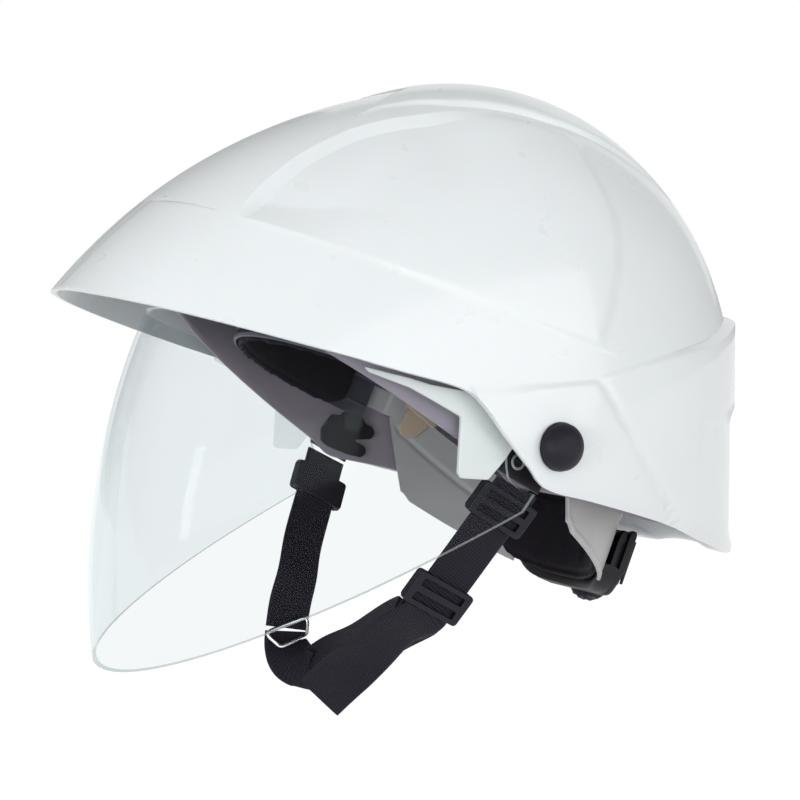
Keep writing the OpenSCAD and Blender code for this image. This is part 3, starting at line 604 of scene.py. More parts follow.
outline = [(-84.9, 36.3), (-82.5, 33.7), (-65.9, 27), (-56.6, 21.7), (-43.2, 13.9), (-44.8, -10.6), (-43.3, -12.8),
           (-30.4, -14.1), (-22, -5.7), (-18, -0.7), (-12.8, -1.2), (-8.3, -10), (4.2, -12), (11.1, -4), (11.8, 6),
           (6.3, 14), (-9.4, 18.9), (-30.3, 22.6), (-41.7, 25.3), (-56.8, 28.3), (-66, 31.3)]
creases = [((-43.2, 13.7), (-21.4, -1.6)), ((-44.4, -10), (-21, -4.7)), ((-43.3, 10), (-43.3, 20)),
           ((-66, 10), (-66, 40))]
v, f = cut_plate(rounded(outline, 1.4, 5), [circle((0, 0), 4.2)], 2.2, 0.5, (90.6, 0, 0), (0, 1, 0), (0, 0, 1), 3,
                 creases)
y, z = v[:, 1].copy(), v[:, 2].copy()
fold, foot_fold = 13.7 - 0.70 * (y + 43.2), -10 + 0.226 * (y + 44.4)
ahead = np.clip((-22 - y) / 24, 0, 1)
facet = np.clip((fold - z) / np.maximum(fold - foot_fold, 3), 0, 1) * ahead
foot = np.clip((foot_fold - z) / 4, 0, 1) * ahead
turned = np.degrees(np.arctan2(z, -y)) + DOWN
sheet = SHELL_HALF_WIDTH - SIDE_ROOM
away = np.hypot(y, z) / (dome(turned) - SIDE_ROOM - FRONT_ROOM)
v[:, 0] += across(sheet, away, turned) - sheet - 0.4 * facet + 0.4 * foot
# the right plate is made part see-through so that the bright backdrop shows through it: painted light standing in for
# the light it catches, while the real plate is opaque like the left one
plate_finish = {
    "left": moulded("hinge_plate", (0.80, 0.835, 0.825), 0.3, coat=0.2, grain=0.2, spread=0.015, glow=0.1),
    "right": clear("hinge_plate_see_through_painted_light", (0.97, 0.98, 0.98), (0.90, 0.93, 0.92), 0.12, 0.0),
}
for side, (v, f) in sided((v, f)):
    mesh_piece("visor_hinge_plate_" + side, at(v), f, plate_finish[side], "visor", smooth=14)

# Pivot knobs, axles and their washers.
# Each knob is a low dome of black plastic on a bevelled foot, with a shallow thumb dimple. It's pressed on a steel
# axle that passes through spacer, shell, visor ear, friction washer and cap, and ends in a lock nut


def revolved(profile, n, origin=(0, 0, 0), axis=(1, 0, 0), lobes=None):
    """A profile of (distance along the axis, radius) turned round the axis; lobes(angle, along) adds to the
    radius."""
    axis = unit(axis)
    e1 = unit(np.cross(axis, [0.123, 0.2, 1.0]))
    e2 = np.cross(axis, e1)
    t = np.linspace(0, 2 * np.pi, n, endpoint=False)
    p = np.asarray(profile, float)
    r = np.broadcast_to(p[:, 1:], (len(p), n))
    if lobes is not None:
        r = r + lobes(t[None, :], p[:, :1])
    v = (np.asarray(origin, float) + p[:, :1, None] * axis
         + (r * np.cos(t))[..., None] * e1 + (r * np.sin(t))[..., None] * e2)
    faces = quads(len(p), n, wrap_cols=True)
    return v.reshape(-1, 3), faces[:, ::-1]


black_gloss = moulded("black_gloss", (0.008, 0.0065, 0.015), 0.5, shine=0.3, grain=0.35, wear=0.5, scratch=0.2)
black_plastic = moulded("black_plastic", (0.009, 0.0075, 0.012), 0.45, shine=0.3, grain=0.9, scale=1500, wear=0.5,
                        scratch=0.15)
r = np.linspace(10.75, 0.05, 40)[1:]
high = 1.3 + 7.7 * np.sqrt(np.maximum(0, 1 - (r / 10.9) ** 2.3)) - 0.35 * np.exp(-(r / 3.0) ** 2)
bevelled_foot = [(-0.1, 0.02), (-0.1, 10.4), (0.15, 11.0), (0.9, 11.0), (1.3, 10.75)]
profile = np.concatenate([bevelled_foot, np.stack([high, r], 1)])
for side, (v, f) in sided(revolved(profile, 96, (101.2, 0, 0))):
    mesh_piece(side + "_knob_dome", at(v), f, black_gloss, "shell", [side + "_pivot_knob"], smooth=45)
dark = moulded("washer", (0.035, 0.033, 0.04), 0.6, grain=1.0)
for node in ("left_pivot_axle", "right_pivot_axle", "friction_washers", "lock_nuts"):
    dress(cad_nodes[node].data, dark)
dress(cad_nodes["pivot_spacers"].data, black_plastic)

# Headband.
# A flat plastic band round the head, with a bead along both edges and rails for the nape plates' tongues. It
# leans back 24 degrees and hangs in the cap from its clips
LEAN = math.radians(24)
HEAD_W, HEAD_L = 73.5, 96.0
BAND_W, BAND_L = 77.7, 100.2
RAIL_END = 14.02
TONGUE_X = 79.9


def band_place(p):
    """From the headband's frame to the pivot frame: turned back by its lean, and moved to its middle."""
    p = np.asarray(p, float)
    c, s = math.cos(LEAN), math.sin(LEAN)
    return np.stack([p[..., 0], -4 + p[..., 1] * c + p[..., 2] * s, 20 - p[..., 1] * s + p[..., 2] * c], axis=-1)


def oval(w, l, t):
    """Places on an ellipse of half width w and half length l, by degrees from straight ahead."""
    t = np.radians(t)
    return np.stack([w * np.sin(t), -l * np.cos(t)], axis=-1)


def oval_out(w, l, t):
    """The directions that look straight out of the ellipse there."""
    t = np.radians(t)
    return unit(np.stack([np.sin(t) / w, -np.cos(t) / l], axis=-1))


def box(lo, hi, bevel, origin=(0, 0, 0), ex=(1, 0, 0), ey=(0, 1, 0)):
    """A bar with rounded edges from one corner to the other, in the frame of its origin and two axes."""
    lo, hi = np.asarray(lo, float), np.asarray(hi, float)
    corner = [(lo[0], lo[1]), (hi[0], lo[1]), (hi[0], hi[1]), (lo[0], hi[1])]
    ez = np.cross(unit(ex), unit(ey))
    return cut_plate(rounded(corner, bevel * 1.5, 4), [], hi[2] - lo[2], bevel,
                     np.asarray(origin, float) + ez * (lo[2] + hi[2]) / 2, ex, ey, 2)


turn = np.linspace(-98, 98, 197)
z = np.array([-14, -13.7, -12.6, -11.4, -10.8, -6, 0, 6, 10.8, 11.4, 12.6, 13.7, 14])
bead = np.array([0.3, 1.3, 1.9, 1.5, 0.9, 0.85, 0.8, 0.85, 0.9, 1.5, 1.9, 1.3, 0.3])
middle, outwards = oval(BAND_W, BAND_L, turn)[:, None], oval_out(BAND_W, BAND_L, turn)[:, None]
heights = np.broadcast_to(z[None, :, None], (len(turn), len(z), 1))
outer = np.concatenate([middle + outwards * (0.1 + bead[None, :, None]), heights], -1)
inner = np.concatenate([np.broadcast_to(middle + outwards * 0.05, (len(turn), len(z), 2)), heights], -1)
verts, faces = between(outer[:, ::-1], inner[:, ::-1])
parts = [(band_place(verts), faces)]
for z in (-7.2, 7.2):
    v, f = box((76.9, RAIL_END - 14, z - 1), (81.3, RAIL_END, z + 1), 0.5)
    parts += [(band_place(q), g) for _, (q, g) in sided((v, f))]
verts, faces = joined(parts)
band_plastic = moulded("band_plastic", (0.06, 0.055, 0.08), 0.45, grain=0.6, scale=1300, wear=0.3)
mesh_piece("headband_shell", at(verts), faces, band_plastic, "shell", ["headband"], smooth=40)

# Sweatband.
# A thin foam pad in a knitted cover, stitched inside its edges, square at its ends, and held to the headband on
# its outer face


def knitted(name, dark, light):
    """Knitted polyester over foam: small staggered cells, a soft sheen and a little lint."""
    f = finish(name)
    place = f.place()
    pore = f.add("TexVoronoi", {"Vector": place, "Scale": 1150.0, "Randomness": 0.35}, "Distance", feature="F1")
    folds = f.noise(place, 70.0, 4.0)
    # the colour follows the knit's height, darker in the hollows of its cells and of its folds: painted shade in the
    # knit
    return f.done(f.add("BsdfPrincipled", {
        "Base Color": f.blend(f.spread(pore, 0.1, 0.75) * 0.7 + folds * 0.3, dark, light),
        "Roughness": folds * 0.15 + 0.62, "Normal": f.bump(pore * 0.6 + folds * 1.4, 0.5, 0.0005), "IOR": 1.4,
        "Sheen Weight": 0.08, "Sheen Roughness": 0.4, "Sheen Tint": (0.55, 0.55, 0.75, 1.0),
        "Specular IOR Level": 0.2}))


def to_band(v):
    """From the pivot frame to the headband's frame."""
    c, s = math.cos(LEAN), math.sin(LEAN)
    y, z = v[..., 1] + 4, v[..., 2] - 20
    return np.stack([v[..., 0], y * c - z * s, y * s + z * c], axis=-1)


def soft_section(w, h):
    """A rounded box, w thick and h high: sine and cosine, each drawn out to a power of about a half."""
    a = np.linspace(0, 2 * np.pi, 40, endpoint=False)
    c, s = np.cos(a), np.sin(a)
    thick = np.asarray(w)[..., None] / 2 * np.sign(c) * np.abs(c) ** 0.55
    return thick, np.asarray(h)[..., None] / 2 * np.sign(s) * np.abs(s) ** 0.5


def bake(o):
    """Applies the modifiers of an object."""
    mesh = bpy.data.meshes.new_from_object(o.evaluated_get(bpy.context.evaluated_depsgraph_get()))
    old = o.data
    name = old.name
    o.modifiers.clear()
    o.data = mesh
    bpy.data.meshes.remove(old)
    mesh.name = name
    mesh.polygons.foreach_set("use_smooth", np.ones(len(mesh.polygons), bool))


def places(o):
    """The vertices of an object."""
    v = np.empty(len(o.data.vertices) * 3)
    o.data.vertices.foreach_get("co", v)
    return v.reshape(-1, 3)


def cushion(name, rows, material, body, stands_for, voxel, most, fixed, pressure):
    """A padded piece from closed sections: it is remeshed finely, blown up as cloth with the places held that
    fixed(places in metres) picks, and no place moves more than most."""
    nr, nc = rows.shape[:2]
    verts = np.concatenate([rows.reshape(-1, 3), rows[0].mean(0)[None], rows[-1].mean(0)[None]])
    j = np.arange(nc)
    ends = [np.stack([np.full(nc, nr * nc), (j + 1) % nc, j], 1),
            np.stack([np.full(nc, nr * nc + 1), (nr - 1) * nc + j, (nr - 1) * nc + (j + 1) % nc], 1)]
    o = mesh_piece(name, at(verts), [quads(nr, nc, wrap_cols=True), *ends], material, body, stands_for)
    work = bmesh.new()
    work.from_mesh(o.data)
    bmesh.ops.recalc_face_normals(work, faces=work.faces)
    work.to_mesh(o.data)
    work.free()
    m = o.modifiers.new("even", "REMESH")
    m.mode = "VOXEL"
    m.voxel_size = voxel
    m.use_smooth_shade = True
    m = o.modifiers.new("relaxed", "SMOOTH")
    m.factor = 0.5
    m.iterations = 8
    bake(o)
    start = places(o)
    held = o.vertex_groups.new(name="held")
    weight = fixed(start)
    for i in np.nonzero(weight > 0)[0]:
        held.add([int(i)], float(weight[i]), "REPLACE")
    cloth = o.modifiers.new("swell", "CLOTH")
    cloth.settings.quality = 5
    cloth.settings.mass = 0.15
    cloth.settings.tension_stiffness = cloth.settings.compression_stiffness = 12
    cloth.settings.bending_stiffness = 0.2
    cloth.settings.use_pressure = True
    cloth.settings.uniform_pressure_force = pressure
    cloth.settings.vertex_group_mass = "held"
    cloth.settings.effector_weights.gravity = 0
    cloth.point_cache.frame_start, cloth.point_cache.frame_end = 1, 20
    for frame_number in range(1, 21):
        bpy.context.scene.frame_set(frame_number)
    done = o.evaluated_get(bpy.context.evaluated_depsgraph_get())
    end = np.empty(len(start) * 3)
    done.data.vertices.foreach_get("co", end)
    move = end.reshape(-1, 3) - start
    far = np.linalg.norm(move, axis=1, keepdims=True)
    move *= np.minimum(1, most / np.maximum(far, 1e-9))
    o.modifiers.remove(cloth)
    o.vertex_groups.clear()
    o.data.vertices.foreach_set("co", (start + move).ravel())
    bpy.context.scene.frame_set(1)
    m = o.modifiers.new("fine", "SUBSURF")
    m.levels = m.render_levels = 1
    bake(o)
    dress(o.data, material)
    return o


def shaped(o, change):
    """Moves the vertices of an object by a function of their places in the pivot frame, in millimetres."""
    o.data.vertices.foreach_set("co", at(change(places(o) * 1000 + PIVOT)).ravel())
    o.data.update()


turn = np.linspace(-1, 1, 65)[:, None]
thick, high = soft_section(4.0, 33 * (0.55 + 0.45 * np.sqrt(np.maximum(0, 1 - np.abs(turn[:, 0]) ** 22))))
wide = oval(HEAD_W + 2, HEAD_L + 2, 90 * turn) + oval_out(HEAD_W, HEAD_L, 90 * turn) * thick[..., None]
rows = band_place(np.concatenate([wide, high[..., None]], -1))


def sweat_held(p):
    """The outer face and both long edges stay in place."""
    q = to_band(p * 1000 + PIVOT)
    r = np.hypot(q[:, 0] / (HEAD_W + 2.2), q[:, 1] / (HEAD_L + 2.2))
    return np.where((r > 1) | (np.abs(q[:, 2]) > 13.5), 1.0, 0.0)


def sweat_seams(v):
    """Two sewn grooves run along the inner face, each pressed in as a bell curve 0.9 mm deep."""
    q = to_band(v)
    r = np.hypot(q[:, 0] / HEAD_W, q[:, 1] / HEAD_L)
    outwards = unit(np.stack([q[:, 0] / HEAD_W**2, q[:, 1] / HEAD_L**2, 0 * r], 1))
    groove = smooth((1.02 - r) / 0.03) * 0.9 * np.exp(-((np.abs(q[:, 2]) - 12.6) / 0.9) ** 2)
    return band_place(q + outwards * groove[:, None])


padding = knitted("padding", (0.004, 0.003, 0.005), (0.018, 0.015, 0.021))
shaped(cushion("sweatband_pad", rows, padding, "shell", ["sweatband"], 0.0022, 0.0022, sweat_held, 3.0), sweat_seams)

# Crown straps and suspension clips.
# Two flat polyester webbings cross over the head from clip to clip and carry the helmet on it; the pale clips
# plug into the cap's wall
CLIP_TURN = math.radians(40)


def woven(name, dark, light, edge=10.6):
    """Flat webbing, in UVs of (across, along) in millimetres: cross ribs, warp cords side by side, a smooth
    selvage from edge on, and fluff."""
    f = finish(name)
    uv = f.add("TexCoord", out="UV")
    x, y = f.add("SeparateXYZ", {0: uv}, "X"), f.add("SeparateXYZ", {0: uv}, "Y")
    place = f.place()
    cord = (x * (2 * math.pi / 1.15)).calc("COSINE") * 0.5 + 0.5
    weave = (y * (2 * math.pi / 1.35) + x * 0.9 + f.noise(place, 240.0, 2.0) * 0.5).calc("SINE") * 0.5 + 0.5
    selvage = f.spread(x.calc("ABSOLUTE"), edge - 0.25, edge + 0.25)
    height = (weave * 0.65 + cord * 0.35) * (1 - selvage * 0.55) + selvage * 0.45
    worn = f.spread(f.noise(place, 45.0, 4.0), 0.35, 0.75)
    # the colour follows the weave's height, darker in its grooves and paler on its ribs: painted shade in the weave;
    # the worn patches are real wear
    return f.done(f.add("BsdfPrincipled", {
        "Base Color": f.blend(height * 0.75 + worn * 0.25, dark, light),
        "Roughness": worn * 0.12 + weave * -0.12 + 0.62, "Normal": f.bump(height, 0.7, 0.00045), "IOR": 1.45,
        "Sheen Weight": 0.06, "Sheen Roughness": 0.45, "Specular IOR Level": 0.2}))


def ribbon(path, faces_to, width, thick, n=10):
    """Webbing along a smooth path, each place with the direction that its face looks: a flat section 13 places
    wide with rounded edges, and UVs in millimetres (across, along). It returns vertices, faces and UVs."""
    p, look = spline(path, n), spline([unit(q) for q in faces_to], n)
    tangent = unit(np.gradient(p, axis=0))
    side = unit(np.cross(tangent, look))
    up = unit(np.cross(side, tangent))
    along = np.concatenate([[0], np.cumsum(np.linalg.norm(np.diff(p, axis=0), axis=1))])
    u = np.sin(np.linspace(-np.pi / 2, np.pi / 2, 13))[::-1]
    rim = 0.35 + 0.65 * np.sqrt(np.maximum(0, 1 - np.abs(u) ** 14))
    wide = p[:, None] + side[:, None] * (u * width / 2)[None, :, None]
    lift = up[:, None] * (rim * thick / 2)[None, :, None]
    verts, faces = between(wide + lift, wide - lift)
    uv = np.stack(np.broadcast_arrays((u * width / 2)[None], along[:, None]), -1).reshape(-1, 2)
    return verts, faces, np.concatenate([uv, uv])


def crown_points(s, lift):
    """Half an ellipse over the head, in the upright plane of two clips, 96 mm high; s picks the plane."""
    reach = 1 / math.hypot(math.sin(CLIP_TURN) / 79.7, math.cos(CLIP_TURN) / 102.2) + 0.2 + 1.2 + 1.3
    rise = 96 + lift
    start = math.degrees(math.asin(6.5 / rise))
    a = np.radians(np.linspace(start, 180 - start, 60))[:, None]
    way = np.array([s * math.sin(CLIP_TURN), -math.cos(CLIP_TURN), 0])
    outwards = unit([way[0] / BAND_W**2, way[1] / BAND_L**2, 0])
    p = way * reach * np.cos(a) + [0, 0, 1] * (rise * np.sin(a))
    look = unit(outwards * np.cos(a) / reach + [0, 0, 1] * np.sin(a) / rise)
    return band_place(p), band_place(look) - band_place(np.zeros(3))


crown_webbing = woven("crown_webbing", (0.02, 0.02, 0.028), (0.085, 0.085, 0.11), edge=8.2)
for s, lift, side in ((1, 0, "left"), (-1, 2.8, "right")):
    v, f, uv = ribbon(*crown_points(s, lift), 19, 1.2, 3)
    mesh_piece("crown_webbing_" + side, at(v), f, crown_webbing, "shell", ["crown_strap_" + side], uv=uv)
pale_plastic = moulded("pale_plastic", (0.50, 0.495, 0.50), 0.4, grain=0.5, scale=1200, spread=0.05, wear=0.3)
dress(cad_nodes["suspension_clips"].data, pale_plastic)

# Nape bands.
# Pale moulded plates that run back from the headband's rails into the ratchet housing: a thickened rim, a long
# stiffening fold, and a tongue in the rails. A tan hook hangs on each one's upper edge
NAPE_W, NAPE_L = 78.0, 118.0
PLATE_W, PLATE_L = 82.0, 124.0
PLATE_FRONT = RAIL_END + 17


def plate_top(y):
    """Height of the plate's upper edge, falling a third of the way back."""
    return 6 - 0.33 * (y - PLATE_FRONT)


def plate_low(y):
    """Height of its lower edge: down steeply over the first 20 mm, then nearly level."""
    d = y - PLATE_FRONT
    return np.where(d < 20, -7.5 - 1.7 * d, -41.5 - 3 * smooth((d - 20) / 7) - 0.2 * np.maximum(0, d - 24))


def plate_x(d):
    """How far out the plate lies, d behind the rails."""
    return PLATE_W * math.sqrt(1 - ((RAIL_END + d) / PLATE_L) ** 2)


front = math.degrees(math.asin(PLATE_FRONT / PLATE_L))
rear = math.degrees(math.acos(36.2 / (PLATE_W - 2)))
turn = np.radians(np.linspace(front, rear, 130))[:, None]
y = PLATE_L * np.sin(turn)
z = mix(plate_top(y), plate_low(y), np.linspace(0, 1, 60))
edge = np.minimum.reduce([z - plate_low(y), plate_top(y) - z, y - y[0] + 0 * z])
rim = 0.45 * smooth((3.2 - edge) / 1.0) * smooth(edge / 0.5 + 0.3)
fold = 0.9 * np.exp(-((z - (-9 - 0.36 * (y - PLATE_FRONT))) / 1.6) ** 2) * smooth((edge - 3) / 4)


def plate_skin(d):
    """The skin of the plate, d outside its ellipse."""
    return np.stack([np.cos(turn) * (PLATE_W + d), np.sin(turn) * (PLATE_L + d), z], -1)


tongue = [(TONGUE_X, -18), (TONGUE_X + 1.2, -18), (TONGUE_X + 1.2, 12), (plate_x(22), 22), (plate_x(22) - 2, 22),
          (plate_x(14) - 2, 14), (TONGUE_X, 12.5)]
v, f = joined([between(plate_skin(rim - 0.45), plate_skin(fold - 1.9)),
               cut_plate(rounded(tongue, 0.5, 3), [], 12, 0.35, (0, RAIL_END, 0), (1, 0, 0), (0, 1, 0))])
for side, (v, f) in sided((v, f)):
    mesh_piece(side + "_nape_plate", at(band_place(v)), f, pale_plastic, "nape", [side + "_nape_band"], smooth=40)

tan_plastic = moulded("tan_plastic", (0.62, 0.49, 0.36), 0.4, grain=0.5, wear=0.6, worn=(0.75, 0.68, 0.5))
turn = math.asin((50 - 4) / PLATE_L)
c, s = math.cos(turn), math.sin(turn)
along = unit([-s * PLATE_W, c * PLATE_L, -0.33 * c * PLATE_L])
outwards = unit([c / PLATE_W, s / PLATE_L, 0])
up = unit(np.cross(along, outwards))
up = up if up[2] > 0 else -up
middle = np.array([c * PLATE_W, s * PLATE_L, plate_top(s * PLATE_L)])
inside = middle - outwards * 3.1
hook = joined([
    cut_plate(rounded([(-10.5, -1.4), (10.5, -1.4), (10.5, 1.6), (-10.5, 1.6)], 0.7, 4), [], 1.6, 0.45,
              inside - outwards * 0.3, along, up),
    cut_plate(rounded([(-8, 1.2), (8.5, 1.2), (7.8, 10.5), (-7.2, 10.5)], 1.4, 5), [], 1.2, 0.35,
              inside + outwards * 0.2, along, up),
    cut_plate(rounded([(-8, -1), (8, -1), (5.5, -12), (2.2, -15.5), (-2.2, -15.5), (-5.5, -12)], 3, 6), [], 1.0,
              0.3, inside + outwards * 0.1, along, up),
    cut_plate(rounded([(-8, 0.2), (8, 0.2), (8, 1.8), (-8, 1.8)], 0.6, 3), [], 3.4, 0.4, middle - outwards * 1.6,
              along, up),
])
for side, (v, f) in sided(hook):
    mesh_piece(side + "_plate_hook", at(band_place(v)), f, tan_plastic, "nape", smooth=35)

# Nape pad.
# Foam in the same knitted cover, bent round the neck between the plates, with a sewn channel inside its edge
turn = np.linspace(1, -1, 49)
full = 0.3 + 0.7 * np.sqrt(np.maximum(0, 1 - np.abs(turn) ** 6))
thick, high = soft_section(6 * (0.55 + 0.45 * full), 46 * (1 - 0.12 * turn**2) * full)
back = 180 - math.degrees(math.asin(44 / NAPE_W)) * turn[:, None]
wide = oval(NAPE_W, NAPE_L, back) + oval_out(NAPE_W, NAPE_L, back) * thick[..., None]
rows = band_place(np.concatenate([wide, -35 + high[..., None]], -1))


def nape_held(p):
    """The face towards the housing stays in place."""
    q = to_band(p * 1000 + PIVOT)
    return np.where(np.hypot(q[:, 0] / NAPE_W, q[:, 1] / NAPE_L) > 1.004, 1.0, 0.0)


def nape_seams(v):
    """A sewn groove runs round the inner face, 4.6 mm inside its edge, pressed in as a bell curve 1.3 mm deep."""
    q = to_band(v)
    r = np.hypot(q[:, 0] / NAPE_W, q[:, 1] / NAPE_L)
    outwards = unit(np.stack([q[:, 0] / NAPE_W**2, q[:, 1] / NAPE_L**2, 0 * r], 1))
    half = 23 * (0.3 + 0.7 * np.sqrt(np.maximum(0, 1 - np.minimum(1, np.abs(q[:, 0]) / 44) ** 6)))
    near = np.minimum(half - np.abs(q[:, 2] + 35), 44 - np.abs(q[:, 0]))
    groove = smooth((1.0 - r) / 0.02) * 1.3 * np.exp(-((near - 4.6) / 1.1) ** 2)
    return band_place(q + outwards * groove[:, None])


shaped(cushion("nape_cushion", rows, padding, "nape", ["nape_pad"], 0.0026, 0.0035, nape_held, 3.5), nape_seams)

# Ratchet housing, cover and wheel.
# The housing's ends are open jaws that the plates slide into; the cover is screwed on, and the wheel behind it,
# lobed for the fingers, turns the pinion between the two plates' racks


def house_low(u):
    """The housing's lower edge: level, with its corners as quarter ellipses."""
    return -60 + 15 * (1 - np.sqrt(np.maximum(0, 1 - (np.maximum(0, np.abs(u) - 21) / 15.01) ** 2)))


def house_back(u):
    """Its back wall, 4 mm further in towards its ends."""
    return 129.2 - 4 * smooth((np.abs(u) - 25) / 11)


def house_face(u, d):
    """The curve of the neck, d behind the nape pad's ellipse."""
    return NAPE_L * np.sqrt(1 - (u / NAPE_W) ** 2) + d


def house_wall(y_in, y_out, z_low, z_top, u, rows):
    """A wall across the housing between two curves seen from above, from z_low up to z_top, with rounded rims."""
    z = mix(z_low[:, None], z_top[:, None], np.linspace(0, 1, rows))
    o, i = (np.stack(np.broadcast_arrays(u[:, None], y[:, None], z), -1)[::-1] for y in (y_out, y_in))
    v, f = rimmed(o, i, (0.6, 0.25, 0.07))
    return band_place(v), [f]


u = np.sin(np.linspace(-np.pi / 2, np.pi / 2, 81)) * 36
flat = np.linspace(-34.5, 34.5, 25)
jaw_top = -25 - 15 * smooth((np.abs(u) - 27) / 4)
walls = [
    house_wall(house_back(u) - 4.2, house_back(u), house_low(u), -25 + 0 * u, u, 30),
    house_wall(house_face(u, 3.3), house_face(u, 6.2), house_low(u) + 0.3, jaw_top, u, 30),
    house_wall(house_face(u, 3.6), house_back(u) - 0.6, house_low(u), -50 + 0 * u, u, 14),
    house_wall(house_face(flat, 6.4), house_back(flat) - 1.0, -52 + 0 * flat, -26.5 + 0 * flat, flat, 12),
]
for x in (-31, -28, 28, 31):
    v, f = box((x - 0.7, 128.4, -57 + abs(x) * 0.16), (x + 0.7, 129.9, -29), 0.4)
    walls.append((band_place(v), f))
v, f = joined(walls)
mesh_piece("ratchet_case", at(v), f, black_plastic, "nape", ["ratchet_housing"], smooth=40)

COVER_Y = 129.4
outline = rounded([(-25.5, -27), (25.5, -27), (25.5, -50), (20, -58), (-20, -58), (-25.5, -50)], 6, 8)
screw = [(0, 0.01), (0.0, 2.0), (0.5, 2.3), (0.8, 1.9), (0.8, 0.9), (0.3, 0.7), (0.3, 0.01)]
v, f = joined([cut_plate(outline, [circle((0, -46), 2.55)], 1.6, 0.45, (0, COVER_Y + 0.8, 0), (1, 0, 0), (0, 0, 1)),
               *(revolved(screw, 24, (x, COVER_Y + 1.4, -32), (0, 1, 0)) for x in (-20.5, 20.5))])
mesh_piece("ratchet_lid", at(band_place(v)), f, black_plastic, "nape", ["ratchet_cover"], smooth=35)


def wheel_lobes(a, along):
    """Twenty lobes as a cosine 0.42 mm high, fading out at the rims."""
    grip = np.clip(1 - np.abs(along - 3.4) / 3.2, 0, 1)
    return 0.42 * np.cos(20 * a) * smooth(grip * 2.5)


WHEEL_Y = 131.2
profile = [(-0.02, 2.5), (-0.02, 15.6), (0.5, 16.6), (1.4, 17.1), (5.2, 17.1), (6.3, 16.7), (6.9, 15.8), (7.0, 14.6),
           (6.5, 13.6), (5.6, 12.9), (5.4, 6.2), (5.9, 5.6), (5.9, 3.4), (5.5, 2.6), (5.5, 0.02)]
shaft = [(-9.6, 0.02), (-9.6, 2.5), (0.6, 2.5), (0.6, 0.02)]
v, f = joined([revolved(profile, 320, (0, WHEEL_Y, -46), (0, 1, 0), wheel_lobes),
               revolved(shaft, 40, (0, WHEEL_Y, -46), (0, 1, 0))])
mesh_piece("ratchet_knob", at(band_place(v)), f, black_gloss, "ratchet", ["ratchet_wheel"], smooth=35)
dress(cad_nodes["ratchet_pinion"].data, pale_plastic)

# Chin strap anchors.
# A forked black plate plugs through each wall of the cap and opens round the axle's nut. Its peg carries a
# pressed steel eyelet and the lug that the side strap hangs from
ANCHOR = np.array([-13.5, -7.0])
LUG_X = 87.352
LUG_LOW = np.array([-12.3, -16.5])
STRAP_DIR = unit([-21, -27.8, -48.9])
STRAP_FACE = unit(np.array([1.0, 0, 0]) - STRAP_DIR * STRAP_DIR[0])
STRAP_SIDE = np.cross(STRAP_DIR, STRAP_FACE)


def metal(name, colour, roughness, brushed=0.5):
    """Steel with drawn lines along it and smudges."""
    f = finish(name)
    place = f.place()
    drawn = f.noise(f.add("Mapping", {"Vector": place, "Scale": (9000, 900, 900)}), 1.0)
    return f.done(f.add("BsdfPrincipled", {
        "Base Color": f.blend(drawn, [c * 0.86 for c in colour], colour), "Metallic": 1.0,
        "Roughness": drawn * 0.2 * brushed + f.noise(place, 120.0) * 0.12 + (roughness - 0.1),
        "Normal": f.bump(drawn, 0.12 * brushed, 0.00004)}))


def outermost(points):
    """The outline round some places: the one that lies furthest out in each of 1440 directions, each once."""
    a = np.linspace(0, 2 * np.pi, 1440, endpoint=False)
    found = (points @ np.stack([np.cos(a), np.sin(a)])).argmax(axis=0)
    return points[found[found != np.roll(found, 1)]]


fork = ANCHOR + rounded([(-5, 3.5), (1.2, 10.6), (10.4, 9.7), (24.7, 3.2), (26.6, -0.1), (24, -2.6), (14.1, -2.4),
                         (15, -4.6), (20.3, -7.4), (20.9, -10.2), (17.8, -12.2), (10.4, -10.2), (-1.9, -5),
                         (-5, -2.5)], 1.7, 5)
# what reaches into the circle round the nut is pushed back to it
dense = mix(np.roll(fork, 1, 0)[:, None], fork[:, None], np.linspace(0, 1, 5)[1:, None]).reshape(-1, 2)
dense = dense * np.maximum(1, 6.8 / np.maximum(np.hypot(dense[:, :1], dense[:, 1:]), 1e-6))
edge = unit(STRAP_SIDE[1:]) * 12
rise = unit([-edge[1], edge[0]]) * -4
corners = [LUG_LOW + edge, LUG_LOW - edge, LUG_LOW - edge + rise, LUG_LOW + edge + rise]
lug_outline = outermost(np.concatenate([circle(ANCHOR, 6.2, 72), corners]))
peg = [(-1.2, 0.02), (-1.2, 2.5), (5.6, 2.5), (6.0, 2.2), (6.1, 1.2), (5.7, 0.02)]
anchor = joined([cut_plate(dense, [], 2.2, 0.5, (82.0, 0, 0), (0, 1, 0), (0, 0, 1)),
                 revolved(peg, 40, (82.9, *ANCHOR))])
lug = cut_plate(lug_outline, [circle(ANCHOR, 2.56, 72)], 1.5, 0.4, (LUG_X, 0, 0), (0, 1, 0), (0, 0, 1))
for side, (v, f) in sided(anchor):
    mesh_piece(side + "_anchor_fork", at(v), f, black_plastic, "shell", [side + "_strap_anchor"], smooth=35)
for side, (v, f) in sided(lug):
    mesh_piece(side + "_lug_plate", at(v), f, black_plastic, "chin_strap", [side + "_strap_lug"], smooth=35)
eye = revolved([(-0.3, 2.56), (-0.35, 3.3), (-0.1, 3.75), (0.25, 3.7), (0.38, 3.2), (0.3, 2.56)], 48, (88.6, *ANCHOR))
v, f = joined([eye, mirrored(eye)])
mesh_piece("eyelet_rings", at(v), f, metal("steel", (0.72, 0.72, 0.74), 0.32, 0.8), "shell", ["anchor_eyelets"])

# Side straps, under-chin strap and tail.
# All the same black polyester webbing, 24 mm wide, sewn round the lugs. The under-chin strap runs from the wire
# loop on the right to the lower slider on the left, and the free tail hangs out of it
STRAP_TOP = np.array([87.002, -13.8, -19.5])
STRAP_START = np.array([LUG_X, LUG_LOW[0] - 0.35, LUG_LOW[1] - 0.8])


def on_run(d, lift=0.0):
    """A place on the straight run of a side strap, d below its top and lift off its face."""
    return STRAP_TOP + STRAP_DIR * d + STRAP_FACE * lift


